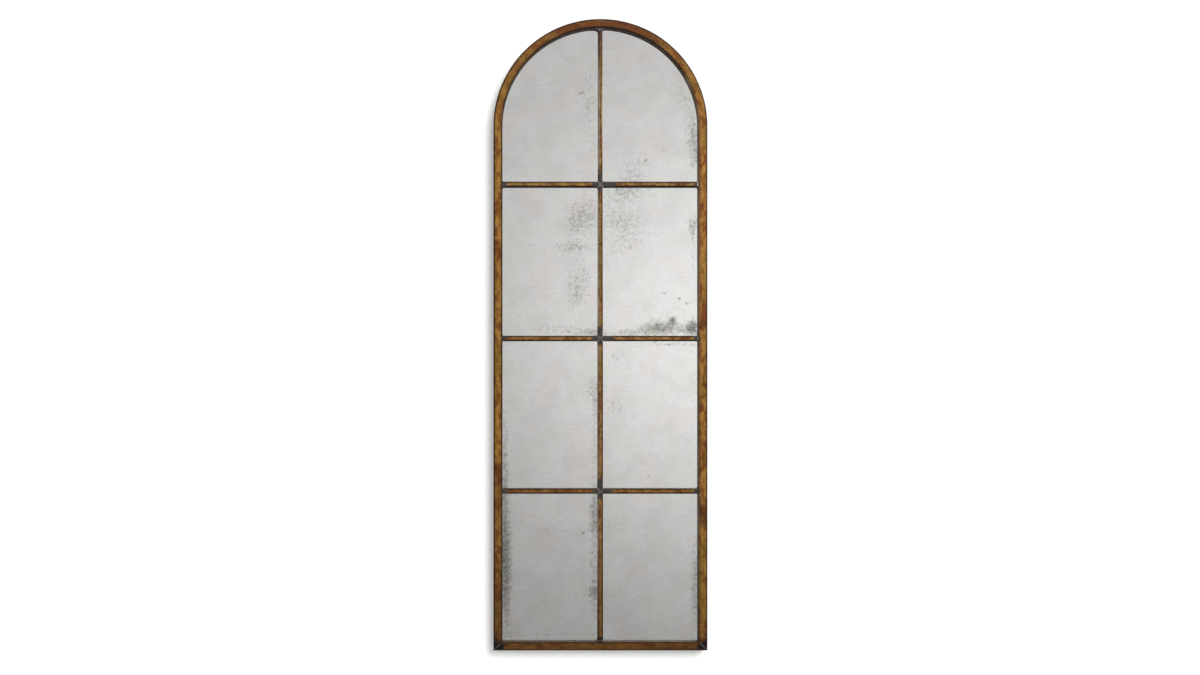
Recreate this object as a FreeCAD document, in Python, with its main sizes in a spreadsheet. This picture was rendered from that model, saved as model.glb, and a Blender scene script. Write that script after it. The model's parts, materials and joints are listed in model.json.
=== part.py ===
import FreeCAD, Part
import Sketcher

import math
import os

App = FreeCAD
X_AXIS = App.Vector(1, 0, 0)
Y_AXIS = App.Vector(0, 1, 0)
Z_AXIS = App.Vector(0, 0, 1)
ORIGIN = App.Vector(0, 0, 0)

# Driving dimensions in millimetres, one cell of the sheet each.
# The drawing frame has z = 0 under the bottom rail and y = 0 on the front face of the iron.
SIZES = {
    # the outline of the whole mirror
    "overall_width": 706.0,
    "overall_height": 2083.0,
    # front tube: face seen from the front, depth towards the wall
    "face_width": 30.0,
    "face_depth": 15.0,
    "tube_wall": 1.5,
    "front_round": 4.0,
    "rear_round": 2.5,
    # square spacer tube behind the outer half of the front tube
    "spacer_side": 15.0,
    "spacer_round": 2.5,
    # window bars, flat iron with eased front edges
    "bar_depth": 10.0,
    "bar_setback": 3.0,
    "bar_round": 3.5,
    "crossbar_width": 18.0,
    "upright_width_foot": 18.0,
    "upright_width_low": 17.6,
    "upright_width_middle": 17.0,
    "upright_width_high": 14.5,
    "upright_width_apex": 14.0,
    # welds
    "weld_round": 5.0,
    "weld_proud": 0.4,
    "weld_rear_gap": 1.0,
    "apex_flare": 20.0,
    "apex_drop": 10.0,
    "mitre_bead_width": 3.2,
    "mitre_bead_height": 0.4,
    # glazing
    "tape_thickness": 1.0,
    "tape_width": 9.0,
    "tape_inset": 1.0,
    "glass_thickness": 4.0,
    "pane_gap": 3.0,
    "board_thickness": 5.0,
    "block_length": 60.0,
    # offset clips and their screws
    "clip_width": 12.0,
    "clip_thickness": 1.2,
    "clip_foot": 5.0,
    "clip_nose": 10.0,
    "clip_hole_radius": 2.2,
    "pilot_hole_radius": 2.0,
    "screw_radius": 1.9,
    "screw_length": 9.0,
    "screw_head_radius": 3.6,
    "screw_head_height": 2.2,
    # hangers: how far the rings' axis lies below the springline and inside the outer edge
    "hook_drop": 70.0,
    "hanger_inset": 30.0,
    "tab_thickness": 3.0,
    "tab_edge": 1.5,
    "tab_inner_reach": 14.0,
    "tab_above": 8.0,
    "tab_below": 6.0,
    "tab_round": 6.0,
    "strap_width": 14.0,
    "strap_thickness": 1.2,
    "strap_length": 58.0,
    "ring_wire_radius": 1.75,
    "ring_clearance": 0.3,
    "ring_half_bar": 13.0,
    "ring_corner": 3.5,
    "ring_side": 6.0,
    "rivet_upper": 34.0,
    "rivet_spacing": 16.0,
    "rivet_radius": 2.0,
    "rivet_clearance": 0.1,
    "rivet_head_radius": 3.3,
    "rivet_head_height": 1.6,
    "rivet_tail_radius": 3.0,
    "rivet_tail_height": 1.5,
    # wall bumpers
    "bumper_radius": 6.0,
    "bumper_tip_radius": 5.2,
    "bumper_height": 10.0,
    # how far a cutting shape runs past what it cuts
    "overrun": 2.0,
}

# Heights of the low, middle and high crossbars, as shares of the straight leg.
CROSSBAR_SHARES = (0.3036, 0.595, 0.889)

# Places along the frame, as shares of the straight leg, of the half turn and of the half width.
CLIP_LEG_SHARES = (0.10, 0.36, 0.62, 0.88)
CLIP_ARCH_SHARES = (0.12, 0.37, 0.63, 0.88)
CLIP_RAIL_SHARES = (-0.45, 0.45)
BUMPER_LEG_SHARES = (0.03, 0.80)
BLOCK_SHARES = (-0.5, 0.5)
CURL_END_SHARE = 1 / 3
HALF_TURN = 180.0
QUARTER_TURN = 90.0


class Size:
    """A length that carries both its number and the sheet expression that gives it."""

    def __init__(self, value, text):
        self.value = value
        self.text = text

    def _join(self, sign, other, number):
        text = other.text if isinstance(other, Size) else repr(other)
        return Size(number, f"({self.text} {sign} {text})")

    def __add__(self, other):
        return self._join("+", other, self.value + number_of(other))

    def __sub__(self, other):
        return self._join("-", other, self.value - number_of(other))

    def __mul__(self, other):
        return self._join("*", other, self.value * number_of(other))

    def __truediv__(self, other):
        return self._join("/", other, self.value / number_of(other))

    def __neg__(self):
        return Size(-self.value, f"(0 - {self.text})")

    def root(self):
        """The square root, for a length worked out from two squared ones."""
        return Size(math.sqrt(self.value), f"sqrt({self.text})")


def number_of(length):
    """The plain number behind a Size or a number."""
    return length.value if isinstance(length, Size) else length


def size(alias):
    """The driving dimension of that name."""
    return Size(SIZES[alias], f"Sizes.{alias}")


ZERO = Size(0.0, "0")

doc = App.newDocument("ArchedMirror")
sheet = doc.addObject("Spreadsheet::Sheet", "Sizes")
for row, (alias, number) in enumerate(SIZES.items(), start=1):
    sheet.set(f"A{row}", alias)
    sheet.set(f"B{row}", str(number))
    sheet.setAlias(f"B{row}", alias)
doc.recompute()

# Lengths that several pieces share, worked out from the driving dimensions.
half_width = size("overall_width") / 2
springline = size("overall_height") - half_width
hook_height = springline - size("hook_drop")
opening_half = half_width - size("face_width")
spacer_inner = half_width - size("spacer_side")
spacer_middle = half_width - size("spacer_side") / 2
spacer_rear = size("face_depth") + size("spacer_side")
pane_half = spacer_inner - size("pane_gap")
pane_bottom = size("spacer_side") + size("pane_gap")
glass_front = size("face_depth") + size("tape_thickness")
board_front = glass_front + size("glass_thickness")
board_rear = board_front + size("board_thickness")
bar_front = size("bar_setback")
bar_half = size("crossbar_width") / 2
wall_plane = spacer_rear + size("bumper_height")
tab_rear = spacer_rear + size("tab_thickness")
barrel_inner = size("ring_wire_radius") + size("ring_clearance")
barrel_outer = barrel_inner + size("strap_thickness")
ring_depth = tab_rear + barrel_outer
hanger_x = half_width - size("hanger_inset")
rivet_hole = size("rivet_radius") + size("rivet_clearance")
apex_height = springline + (opening_half * opening_half
                            - size("upright_width_apex") * size("upright_width_apex") / 4).root()

# Each crossing: its height and the half width of the upright there.
CROSSINGS = {name: (springline * share, size(f"upright_width_{name}") / 2)
             for name, share in zip(("low", "middle", "high"), CROSSBAR_SHARES)}

# The placement of the drawing frame: the origin lies on the wall, midway between the two hooks.
DRAWING_FRAME = (ZERO, -wall_plane, -hook_height)


def place(piece, across=ZERO, depth=ZERO, height=ZERO):
    """Bind a piece's placement to a spot of the drawing frame."""
    for axis, offset, home in zip("xyz", (across, depth, height), DRAWING_FRAME):
        piece.setExpression(f"Placement.Base.{axis}", (offset + home).text)


def new_body(label):
    """A body of the document with a label of its own."""
    body = doc.addObject("PartDesign::Body", label)
    body.Label = label
    return body


def new_sketch(body, name, plane):
    """A sketch on one of the body's own origin planes."""
    sketch = body.newObject("Sketcher::SketchObject", name)
    origin_plane = [feature for feature in body.Origin.OriginFeatures if feature.Role == plane][0]
    sketch.AttachmentSupport = [(origin_plane, "")]
    sketch.MapMode = "FlatFace"
    return sketch


def bind(sketch, constraint, length):
    """Add a constraint whose value follows the sheet."""
    index = sketch.addConstraint(constraint)
    if length.text != "0":
        sketch.setExpression(f"Constraints[{index}]", length.text)


def pin(sketch, geometry, point, across, up):
    """Fix a point of the sketch by its two distances from the origin."""
    if across is not None:
        bind(sketch, Sketcher.Constraint("DistanceX", -1, 1, geometry, point, across.value), across)
    if up is not None:
        bind(sketch, Sketcher.Constraint("DistanceY", -1, 1, geometry, point, up.value), up)


def draw_loop(sketch, corners, bends=None):
    """Close a loop through the corners; bends gives an edge's centre and turn, +1 or -1."""
    bends = bends or {}
    edges = []
    for index, (across, up) in enumerate(corners):
        start = App.Vector(across.value, up.value, 0)
        next_across, next_up = corners[(index + 1) % len(corners)]
        finish = App.Vector(next_across.value, next_up.value, 0)
        if index in bends:
            centre_across, centre_up, turn = bends[index]
            centre = App.Vector(centre_across.value, centre_up.value, 0)
            first, last = (start, finish) if turn > 0 else (finish, start)
            angles = [math.atan2(point.y - centre.y, point.x - centre.x) for point in (first, last)]
            if angles[1] <= angles[0]:
                angles[1] += 2 * math.pi
            circle = Part.Circle(centre, Z_AXIS, (start - centre).Length)
            geometry = sketch.addGeometry(Part.ArcOfCircle(circle, *angles))
            edges.append((geometry, 1, 2) if turn > 0 else (geometry, 2, 1))
        else:
            geometry = sketch.addGeometry(Part.LineSegment(start, finish))
            edges.append((geometry, 1, 2))
    for index, (geometry, start_point, _) in enumerate(edges):
        before, _, before_end = edges[index - 1]
        sketch.addConstraint(Sketcher.Constraint("Coincident", before, before_end, geometry, start_point))
        pin(sketch, geometry, start_point, *corners[index])
    for index, (centre_across, centre_up, _) in bends.items():
        across, up = corners[index]
        next_across, next_up = corners[(index + 1) % len(corners)]
        level = abs(next_across.value - across.value) >= abs(next_up.value - up.value)
        pin(sketch, edges[index][0], 3, None if level else centre_across, centre_up if level else None)


def draw_circle(sketch, across, up, radius):
    """A circle fixed by its centre and radius."""
    circle = Part.Circle(App.Vector(across.value, up.value, 0), Z_AXIS, radius.value)
    geometry = sketch.addGeometry(circle)
    pin(sketch, geometry, 3, across, up)
    bind(sketch, Sketcher.Constraint("Radius", geometry, radius.value), radius)


def pad(body, sketch, length, reverse=False, symmetric=False):
    """Pad a sketch by a bound length."""
    feature = body.newObject("PartDesign::Pad", "Pad")
    feature.Profile = sketch
    feature.Reversed = reverse
    if symmetric:
        feature.SideType = "Symmetric"
    feature.setExpression("Length", length.text)
    sketch.Visibility = False
    return feature


def pocket_through(body, sketch):
    """Cut a sketch right through the body, both ways."""
    feature = body.newObject("PartDesign::Pocket", "Pocket")
    feature.Profile = sketch
    feature.Type = "ThroughAll"
    feature.SideType = "Symmetric"


def rounded_box(low, high, front, rear, front_round, rear_round, turned=False):
    """Corners and bends of a tube's section; turned puts its depth along the sketch's first axis."""
    corners = [
        (low + front_round, front), (high - front_round, front),
        (high, front + front_round), (high, rear - rear_round),
        (high - rear_round, rear), (low + rear_round, rear),
        (low, rear - rear_round), (low, front + front_round),
    ]
    centres = {
        1: (high - front_round, front + front_round), 3: (high - rear_round, rear - rear_round),
        5: (low + rear_round, rear - rear_round), 7: (low + front_round, front + front_round),
    }
    if turned:
        corners = [(depth, across) for across, depth in corners]
        return corners, {index: (depth, across, -1) for index, (across, depth) in centres.items()}
    return corners, {index: (across, depth, 1) for index, (across, depth) in centres.items()}


def draw_tube_section(sketch, low, high, front, rear, front_round, rear_round, turned=False):
    """The outer and inner outline of a tube."""
    wall = size("tube_wall")
    draw_loop(sketch, *rounded_box(low, high, front, rear, front_round, rear_round, turned))
    draw_loop(sketch, *rounded_box(low + wall, high - wall, front + wall, rear - wall,
                                   front_round - wall, rear_round - wall, turned))


# The two tubes that make the frame: inner edge, front, rear, front and rear corner radii, and face width.
TUBES = {
    "front": (opening_half, ZERO, size("face_depth"), size("front_round"), size("rear_round"),
              size("face_width")),
    "spacer": (spacer_inner, size("face_depth"), spacer_rear, size("spacer_round"), size("spacer_round"),
               size("spacer_side")),
}


def arch_tube(label, tube):
    """A half ring rolled from tube, standing on the springline."""
    inner, front, rear, front_round, rear_round, _ = TUBES[tube]
    body = new_body(label)
    section = new_sketch(body, "Section", "XY_Plane")
    draw_tube_section(section, inner, half_width, front, rear, front_round, rear_round)
    bend = body.newObject("PartDesign::Revolution", "Roll")
    bend.Profile = section
    bend.ReferenceAxis = (section, ["V_Axis"])
    bend.Angle = HALF_TURN
    bend.Reversed = True
    place(body, height=springline)
    return body


def leg_tube(label, tube, side):
    """A straight leg from its bottom mitre to the springline; side is -1 for left, +1 for right."""
    inner, front, rear, front_round, rear_round, face = TUBES[tube]
    low, high = (inner, half_width) if side > 0 else (-half_width, -inner)
    body = new_body(label)
    section = new_sketch(body, "Section", "XY_Plane")
    draw_tube_section(section, low, high, front, rear, front_round, rear_round)
    pad(body, section, springline)
    past = size("overrun")
    mitre = new_sketch(body, "Mitre", "XZ_Plane")
    outer, opening = half_width * side, inner * side
    draw_loop(mitre, [(outer + past * side, -past), (opening - past * side, face + past),
                      (opening - past * side, -past)])
    pocket_through(body, mitre)
    place(body)
    return body


def rail_tube(label, tube):
    """The bottom length of the frame, mitred at both ends."""
    inner, front, rear, front_round, rear_round, face = TUBES[tube]
    body = new_body(label)
    section = new_sketch(body, "Section", "YZ_Plane")
    draw_tube_section(section, ZERO, face, front, rear, front_round, rear_round, turned=True)
    pad(body, section, size("overall_width"), symmetric=True)
    past = size("overrun")
    mitre = new_sketch(body, "Mitres", "XZ_Plane")
    for side in (-1, 1):
        outer, opening = half_width * side, inner * side
        draw_loop(mitre, [(outer + past * side, -past), (outer + past * side, face + past),
                          (opening - past * side, face + past)])
    pocket_through(body, mitre)
    place(body)
    return body


def drill_spacer(body, places, height=ZERO):
    """Pilot holes through a spacer tube's rear wall, at spots of the drawing frame."""
    holes = new_sketch(body, "PilotHoles", "XZ_Plane")
    for across, up in places:
        draw_circle(holes, across, up - height, size("pilot_hole_radius"))
    feature = body.newObject("PartDesign::Pocket", "Drill")
    feature.Profile = holes
    feature.Type = "Length"
    inside_rear_wall = spacer_rear - size("tube_wall") - size("overrun")
    holes.setExpression("AttachmentOffset.Base.z", (-inside_rear_wall).text)
    feature.setExpression("Length", (size("tube_wall") + size("overrun") * 2).text)


def ease_front_edges(body, base):
    """Round the two long edges of a bar's front face."""
    front = [(edge.Length, f"Edge{index}") for index, edge in enumerate(base.Shape.Edges, start=1)
             if all(abs(vertex.Y) < Part.Precision.confusion() for vertex in edge.Vertexes)]
    feature = body.newObject("PartDesign::Fillet", "EasedEdges")
    feature.Base = (base, [name for _, name in sorted(front)[-2:]])
    feature.setExpression("Radius", "Sizes.bar_round")


def flat_bar(label, outline):
    """A length of flat iron, drawn from the front, with its front edges eased."""
    body = new_body(label)
    sketch = new_sketch(body, "Outline", "XZ_Plane")
    draw_loop(sketch, outline)
    base = pad(body, sketch, size("bar_depth"), reverse=True)
    doc.recompute()
    ease_front_edges(body, base)
    place(body, depth=bar_front)
    return body


def crossbar(label, crossing, side):
    """A crossbar from the point where it meets the upright to the inside of the leg."""
    level, upright_half = CROSSINGS[crossing]
    return flat_bar(label, [
        (ZERO, level), (upright_half * side, level - bar_half * side), (opening_half * side, level - bar_half * side),
        (opening_half * side, level + bar_half * side), (upright_half * side, level + bar_half * side),
    ])


def upright(label, below, above):
    """An upright length between two crossings; None stands for the bottom rail or the arch."""
    if below is None:
        foot_half, base = size("upright_width_foot") / 2, size("face_width")
        lower = [(-foot_half, base), (foot_half, base)]
    else:
        level, half = CROSSINGS[below]
        lower = [(-half, level + bar_half), (ZERO, level), (half, level + bar_half)]
    if above is None:
        top_half = size("upright_width_apex") / 2
        upper = [(top_half, apex_height), (-top_half, apex_height)]
    else:
        level, half = CROSSINGS[above]
        upper = [(half, level - bar_half), (ZERO, level), (-half, level - bar_half)]
    return flat_bar(label, lower + upper)


def arched_outline(half, bottom):
    """Corners and bend of an arched sheet of that half width."""
    corners = [(-half, bottom), (half, bottom), (half, springline), (-half, springline)]
    return corners, {2: (ZERO, springline, 1)}


def arched_sheet(label, depth, thickness):
    """A sheet with the outline of the pane."""
    body = new_body(label)
    outline = new_sketch(body, "Outline", "XZ_Plane")
    draw_loop(outline, *arched_outline(pane_half, pane_bottom))
    pad(body, outline, thickness, reverse=True)
    place(body, depth=depth)
    return body


def glazing_tape():
    """The tape between the iron and the glass, all the way round."""
    body = new_body("glazing_tape")
    outline = new_sketch(body, "Outline", "XZ_Plane")
    outer, outer_bottom = pane_half - size("tape_inset"), pane_bottom + size("tape_inset")
    draw_loop(outline, *arched_outline(outer, outer_bottom))
    draw_loop(outline, *arched_outline(outer - size("tape_width"), outer_bottom + size("tape_width")))
    pad(body, outline, size("tape_thickness"), reverse=True)
    place(body, depth=size("face_depth"))
    return body


def group(label, solids):
    """One node of several equal solids, set in the drawing frame."""
    feature = doc.addObject("Part::Feature", label)
    feature.Label = label
    feature.Shape = Part.makeCompound(solids)
    feature.Placement = App.Placement(App.Vector(*(home.value for home in DRAWING_FRAME)), App.Rotation())
    return feature


def copies(seed, spots):
    """Copies of a seed at spots given by across, height and the angle of their outward side."""
    shapes = []
    for across, height, angle in spots:
        turned = App.Placement(App.Vector(across.value, 0, height.value), App.Rotation(-Y_AXIS, angle))
        shapes.append(seed.Shape.transformed(turned.toMatrix()))
    return shapes


def clip_spots():
    """Where the clips sit on the spacer tubes: legs, arch and rail, with their outward angle."""
    legs = {side: [(spacer_middle * side, springline * share, QUARTER_TURN * (1 - side))
                   for share in CLIP_LEG_SHARES] for side in (-1, 1)}
    arch = []
    for share in CLIP_ARCH_SHARES:
        angle = HALF_TURN * share
        arch.append((spacer_middle * math.cos(math.radians(angle)),
                     springline + spacer_middle * math.sin(math.radians(angle)), angle))
    rail = [(half_width * share, size("spacer_side") / 2, -QUARTER_TURN) for share in CLIP_RAIL_SHARES]
    return legs, arch, rail


def clip_seed():
    """An offset clip with its outward side at +X, centred on its screw."""
    thick, drop = size("clip_thickness"), spacer_rear - board_rear
    bend_top = -(size("spacer_side") / 2)
    run = size("pane_gap") + thick
    bend_foot = bend_top - run
    tip = bend_foot - size("clip_nose")
    shift = thick * (((run * run + drop * drop).root() - run) / drop)
    body = new_body("clip_seed")
    profile = new_sketch(body, "Profile", "XY_Plane")
    draw_loop(profile, [
        (size("clip_foot"), spacer_rear), (size("clip_foot"), spacer_rear + thick),
        (bend_top - shift, spacer_rear + thick), (bend_foot - shift, board_rear + thick),
        (tip, board_rear + thick), (tip, board_rear), (bend_foot, board_rear), (bend_top, spacer_rear),
    ])
    pad(body, profile, size("clip_width"), symmetric=True)
    hole = new_sketch(body, "ScrewHole", "XZ_Plane")
    draw_circle(hole, ZERO, ZERO, size("clip_hole_radius"))
    pocket_through(body, hole)
    return body


def turned_seed(label, outline, bends=None):
    """A body turned about the depth axis from half a profile."""
    body = new_body(label)
    profile = new_sketch(body, "Profile", "XY_Plane")
    draw_loop(profile, outline, bends)
    turn = body.newObject("PartDesign::Revolution", "Turn")
    turn.Profile = profile
    turn.ReferenceAxis = (profile, ["V_Axis"])
    turn.Angle = HALF_TURN * 2
    return body


def screw_seed():
    """A pan head screw, its head on the clip's foot."""
    seat = spacer_rear + size("clip_thickness")
    head, top = size("screw_head_radius"), size("screw_head_height")
    return turned_seed("screw_seed", [
        (ZERO, seat - size("screw_length")), (size("screw_radius"), seat - size("screw_length")),
        (size("screw_radius"), seat), (head, seat), (head, seat + top / 2), (head / 2, seat + top),
        (ZERO, seat + top),
    ])


def rivet_seed():
    """A rivet through strap and tab, with its head towards the wall."""
    seat, tail = tab_rear + size("strap_thickness"), size("rivet_tail_height")
    head, top = size("rivet_head_radius"), size("rivet_head_height")
    return turned_seed("rivet_seed", [
        (ZERO, spacer_rear - tail), (size("rivet_tail_radius") / 2, spacer_rear - tail),
        (size("rivet_tail_radius"), spacer_rear), (size("rivet_radius"), spacer_rear),
        (size("rivet_radius"), seat), (head, seat), (head / 2, seat + top), (ZERO, seat + top),
    ])


def rivet_heights():
    """Heights of the two rivets of a strap, below the ring's axis."""
    upper = hook_height - size("rivet_upper")
    return upper, upper - size("rivet_spacing")


def hanger_tab(label, side):
    """A plate welded across the rear of the spacer tube, reaching inwards to carry a strap."""
    outer = (half_width - size("tab_edge")) * side
    inner = (hanger_x - size("tab_inner_reach")) * side
    top = hook_height + size("tab_above")
    bottom = hook_height - size("strap_length") - size("tab_below")
    soft = size("tab_round")
    body = new_body(label)
    outline = new_sketch(body, "Outline", "XZ_Plane")
    draw_loop(outline, [(outer, bottom), (outer, top), (inner + soft * side, top), (inner, top - soft),
                        (inner, bottom + soft), (inner + soft * side, bottom)],
              {2: (inner + soft * side, top - soft, side), 4: (inner + soft * side, bottom + soft, side)})
    for height in rivet_heights():
        draw_circle(outline, hanger_x * side, height, rivet_hole)
    pad(body, outline, size("tab_thickness"), reverse=True)
    place(body, depth=spacer_rear)
    return body


def hanger_strap(label, side):
    """A steel strap curled round the ring's straight side and riveted to its tab."""
    curl = math.radians(HALF_TURN * (1 + CURL_END_SHARE))
    end_out, end_up = math.cos(curl), math.sin(curl)
    body = new_body(label)
    section = new_sketch(body, "Section", "YZ_Plane")
    draw_loop(section, [
        (tab_rear, -size("strap_length")), (tab_rear + size("strap_thickness"), -size("strap_length")),
        (tab_rear + size("strap_thickness"), ZERO),
        (ring_depth + barrel_inner * end_out, barrel_inner * end_up),
        (ring_depth + barrel_outer * end_out, barrel_outer * end_up), (tab_rear, ZERO),
    ], {2: (ring_depth, ZERO, -1), 4: (ring_depth, ZERO, 1)})
    pad(body, section, size("strap_width"), symmetric=True)
    holes = new_sketch(body, "RivetHoles", "XZ_Plane")
    for height in rivet_heights():
        draw_circle(holes, ZERO, height - hook_height, rivet_hole)
    pocket_through(body, holes)
    place(body, across=hanger_x * side, height=hook_height)
    return body


def hanger_ring(label, side):
    """A D-shaped ring of round wire, hanging from its straight side."""
    half_bar, corner, drop = size("ring_half_bar"), size("ring_corner"), size("ring_side")
    bow = half_bar + corner
    body = new_body(label)
    path = new_sketch(body, "Path", "XZ_Plane")
    draw_loop(path, [
        (half_bar, ZERO), (bow, -corner), (bow, -(corner + drop)), (-bow, -(corner + drop)),
        (-bow, -corner), (-half_bar, ZERO),
    ], {0: (half_bar, -corner, -1), 2: (ZERO, -(corner + drop), -1), 4: (-half_bar, -corner, -1)})
    wire = new_sketch(body, "Wire", "YZ_Plane")
    draw_circle(wire, ZERO, ZERO, size("ring_wire_radius"))
    sweep = body.newObject("PartDesign::AdditivePipe", "Bend")
    sweep.Profile = wire
    sweep.Spine = (path, [f"Edge{index}" for index in range(1, 7)])
    place(body, across=hanger_x * side, depth=ring_depth, height=hook_height)
    return body


def weld_blank(outline, bends, depth_front, depth_rear):
    """A plain block of weld metal, drawn from the front, before the iron is cut out of it."""
    edges = []
    for index, (across, up) in enumerate(outline):
        start = App.Vector(across, 0, up)
        finish_across, finish_up = outline[(index + 1) % len(outline)]
        finish = App.Vector(finish_across, 0, finish_up)
        if index in bends:
            edges.append(Part.Arc(start, App.Vector(bends[index][0], 0, bends[index][1]), finish).toShape())
        else:
            edges.append(Part.LineSegment(start, finish).toShape())
    face = Part.Face(Part.Wire(edges))
    face.translate(App.Vector(0, depth_front, 0))
    return face.extrude(App.Vector(0, depth_rear - depth_front, 0))


def fillet_middle(corner_across, corner_up, radius, side_across, side_up):
    """The middle of a hollow fillet whose sharp corner lies there and opens to that side."""
    reach = radius * (1 - math.sqrt(0.5))
    return corner_across + reach * side_across, corner_up + reach * side_up


def weld_depths():
    """Front and rear of the weld metal at the bars."""
    front = bar_front.value - SIZES["weld_proud"]
    rear = bar_front.value + SIZES["bar_depth"] - SIZES["weld_rear_gap"]
    return front, rear


def drawn(piece):
    """A piece's shape in the drawing frame."""
    home = App.Vector(*(length.value for length in DRAWING_FRAME))
    return piece.Shape.translated(-home)


def room_side(weld):
    """The weld itself, without any crumb that lies inside a hollow tube."""
    return max(weld.Solids, key=lambda solid: solid.Volume)


def crossing_weld(crossing, bars):
    """The ground weld over a crossing, with a hollow fillet in each corner."""
    level, half = (length.value for length in CROSSINGS[crossing])
    rise, fillet = bar_half.value, SIZES["weld_round"]
    outline, bends = [], {}
    for side_across, side_up in ((1, 1), (1, -1), (-1, -1), (-1, 1)):
        corner = (half * side_across, level + rise * side_up)
        upright_end = (corner[0], corner[1] + fillet * side_up)
        bar_end = (corner[0] + fillet * side_across, corner[1])
        bends[len(outline)] = fillet_middle(*corner, fillet, side_across, side_up)
        outline += [upright_end, bar_end] if side_across * side_up > 0 else [bar_end, upright_end]
    blank = weld_blank(outline, bends, *weld_depths())
    return room_side(blank.cut([drawn(bar) for bar in bars]))


def bar_end_weld(crossing, side, bar, leg):
    """The weld between a crossbar and the inside of a leg."""
    level = CROSSINGS[crossing][0].value
    rise, fillet, wall = bar_half.value, SIZES["weld_round"], opening_half.value * side
    inside = wall - fillet * side
    buried = wall + SIZES["tube_wall"] / 2 * side
    outline = [(inside, level - rise), (wall, level - rise - fillet), (buried, level - rise - fillet),
               (buried, level + rise + fillet), (wall, level + rise + fillet), (inside, level + rise)]
    bends = {0: fillet_middle(wall, level - rise, fillet, -side, -1),
             4: fillet_middle(wall, level + rise, fillet, -side, 1)}
    return room_side(weld_blank(outline, bends, *weld_depths()).cut([drawn(bar), drawn(leg)]))


def end_weld(half, level, reach, rise, away, far_level, bar, tube):
    """The weld between an end of the upright and the tube; away points from the tube to the bar."""
    buried = level - SIZES["tube_wall"] / 2 * away
    start, finish = (half, level + rise * away), (half + reach, far_level)
    hollow = 1 - math.sqrt(0.5)
    middle = (half + reach * hollow, level + rise * hollow * away)
    outline = [start, finish, (finish[0], buried), (-finish[0], buried), (-finish[0], finish[1]),
               (-start[0], start[1])]
    bends = {0: middle, 4: (-middle[0], middle[1])}
    return room_side(weld_blank(outline, bends, *weld_depths()).cut([drawn(bar), drawn(tube)]))


def mitre_bead(side, seed):
    """A low bead along the mitre on the face of a bottom corner."""
    middle = SIZES["face_width"] / 2
    turned = App.Placement(App.Vector((half_width.value - middle) * side, 0, middle),
                           App.Rotation(Y_AXIS, -side * QUARTER_TURN / 2))
    return seed.Shape.transformed(turned.toMatrix())


def bead_seed():
    """A low bead of weld, lying across the face and centred on its middle."""
    wide, tall = size("mitre_bead_width") / 2, size("mitre_bead_height")
    sink = (wide * wide - tall * tall) / (tall * 2)
    body = new_body("bead_seed")
    section = new_sketch(body, "Section", "XY_Plane")
    draw_loop(section, [(-wide, ZERO), (wide, ZERO)], {0: (ZERO, sink, 1)})
    pad(body, section, (size("face_width") - size("front_round") * 2) * math.sqrt(2), symmetric=True)
    return body


def bumper(across, height):
    """A tapered rubber foot on the rear of a spacer tube."""
    return Part.makeCone(SIZES["bumper_radius"], SIZES["bumper_tip_radius"], SIZES["bumper_height"],
                         App.Vector(across.value, spacer_rear.value, height.value), Y_AXIS)


def setting_block(share):
    """A packer under the glass and the board."""
    length = SIZES["block_length"]
    corner = App.Vector(half_width.value * share - length / 2, glass_front.value, SIZES["spacer_side"])
    return Part.makeBox(length, board_rear.value - glass_front.value, SIZES["pane_gap"], corner)


pieces = {
    "arch": arch_tube("arch", "front"),
    "left_leg": leg_tube("left_leg", "front", -1),
    "right_leg": leg_tube("right_leg", "front", 1),
    "bottom_rail": rail_tube("bottom_rail", "front"),
    "arch_spacer": arch_tube("arch_spacer", "spacer"),
    "left_spacer": leg_tube("left_spacer", "spacer", -1),
    "right_spacer": leg_tube("right_spacer", "spacer", 1),
    "bottom_spacer": rail_tube("bottom_spacer", "spacer"),
}
for level in CROSSINGS:
    for word, side in (("left", -1), ("right", 1)):
        label = f"{word}_crossbar_{level}"
        pieces[label] = crossbar(label, level, side)
for label, below, above in (("upright_foot", None, "low"), ("upright_lower", "low", "middle"),
                            ("upright_upper", "middle", "high"), ("upright_top", "high", None)):
    pieces[label] = upright(label, below, above)

leg_spots, arch_spots, rail_spots = clip_spots()
for label, spots, height in (("left_spacer", leg_spots[-1], ZERO), ("right_spacer", leg_spots[1], ZERO),
                             ("arch_spacer", arch_spots, springline), ("bottom_spacer", rail_spots, ZERO)):
    drill_spacer(pieces[label], [spot[:2] for spot in spots], height)

pieces["glazing_tape"] = glazing_tape()
pieces["mirror_glass"] = arched_sheet("mirror_glass", glass_front, size("glass_thickness"))
pieces["backing_board"] = arched_sheet("backing_board", board_front, size("board_thickness"))
for word, side in (("left", -1), ("right", 1)):
    pieces[f"{word}_hanger_tab"] = hanger_tab(f"{word}_hanger_tab", side)
    pieces[f"{word}_hanger_strap"] = hanger_strap(f"{word}_hanger_strap", side)
    pieces[f"{word}_hanger_ring"] = hanger_ring(f"{word}_hanger_ring", side)

clip, screw, rivet, bead = clip_seed(), screw_seed(), rivet_seed(), bead_seed()
doc.recompute()

spots = leg_spots[-1] + leg_spots[1] + arch_spots + rail_spots
pieces["retaining_clips"] = group("retaining_clips", copies(clip, spots))
pieces["clip_screws"] = group("clip_screws", copies(screw, spots))
pieces["hanger_rivets"] = group("hanger_rivets", copies(rivet, [
    (hanger_x * side, height, 0) for side in (-1, 1) for height in rivet_heights()]))
pieces["setting_blocks"] = group("setting_blocks", [setting_block(share) for share in BLOCK_SHARES])
pieces["wall_bumpers"] = group("wall_bumpers", [
    bumper(spacer_middle * side, springline * share) for side in (-1, 1) for share in BUMPER_LEG_SHARES])

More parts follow.
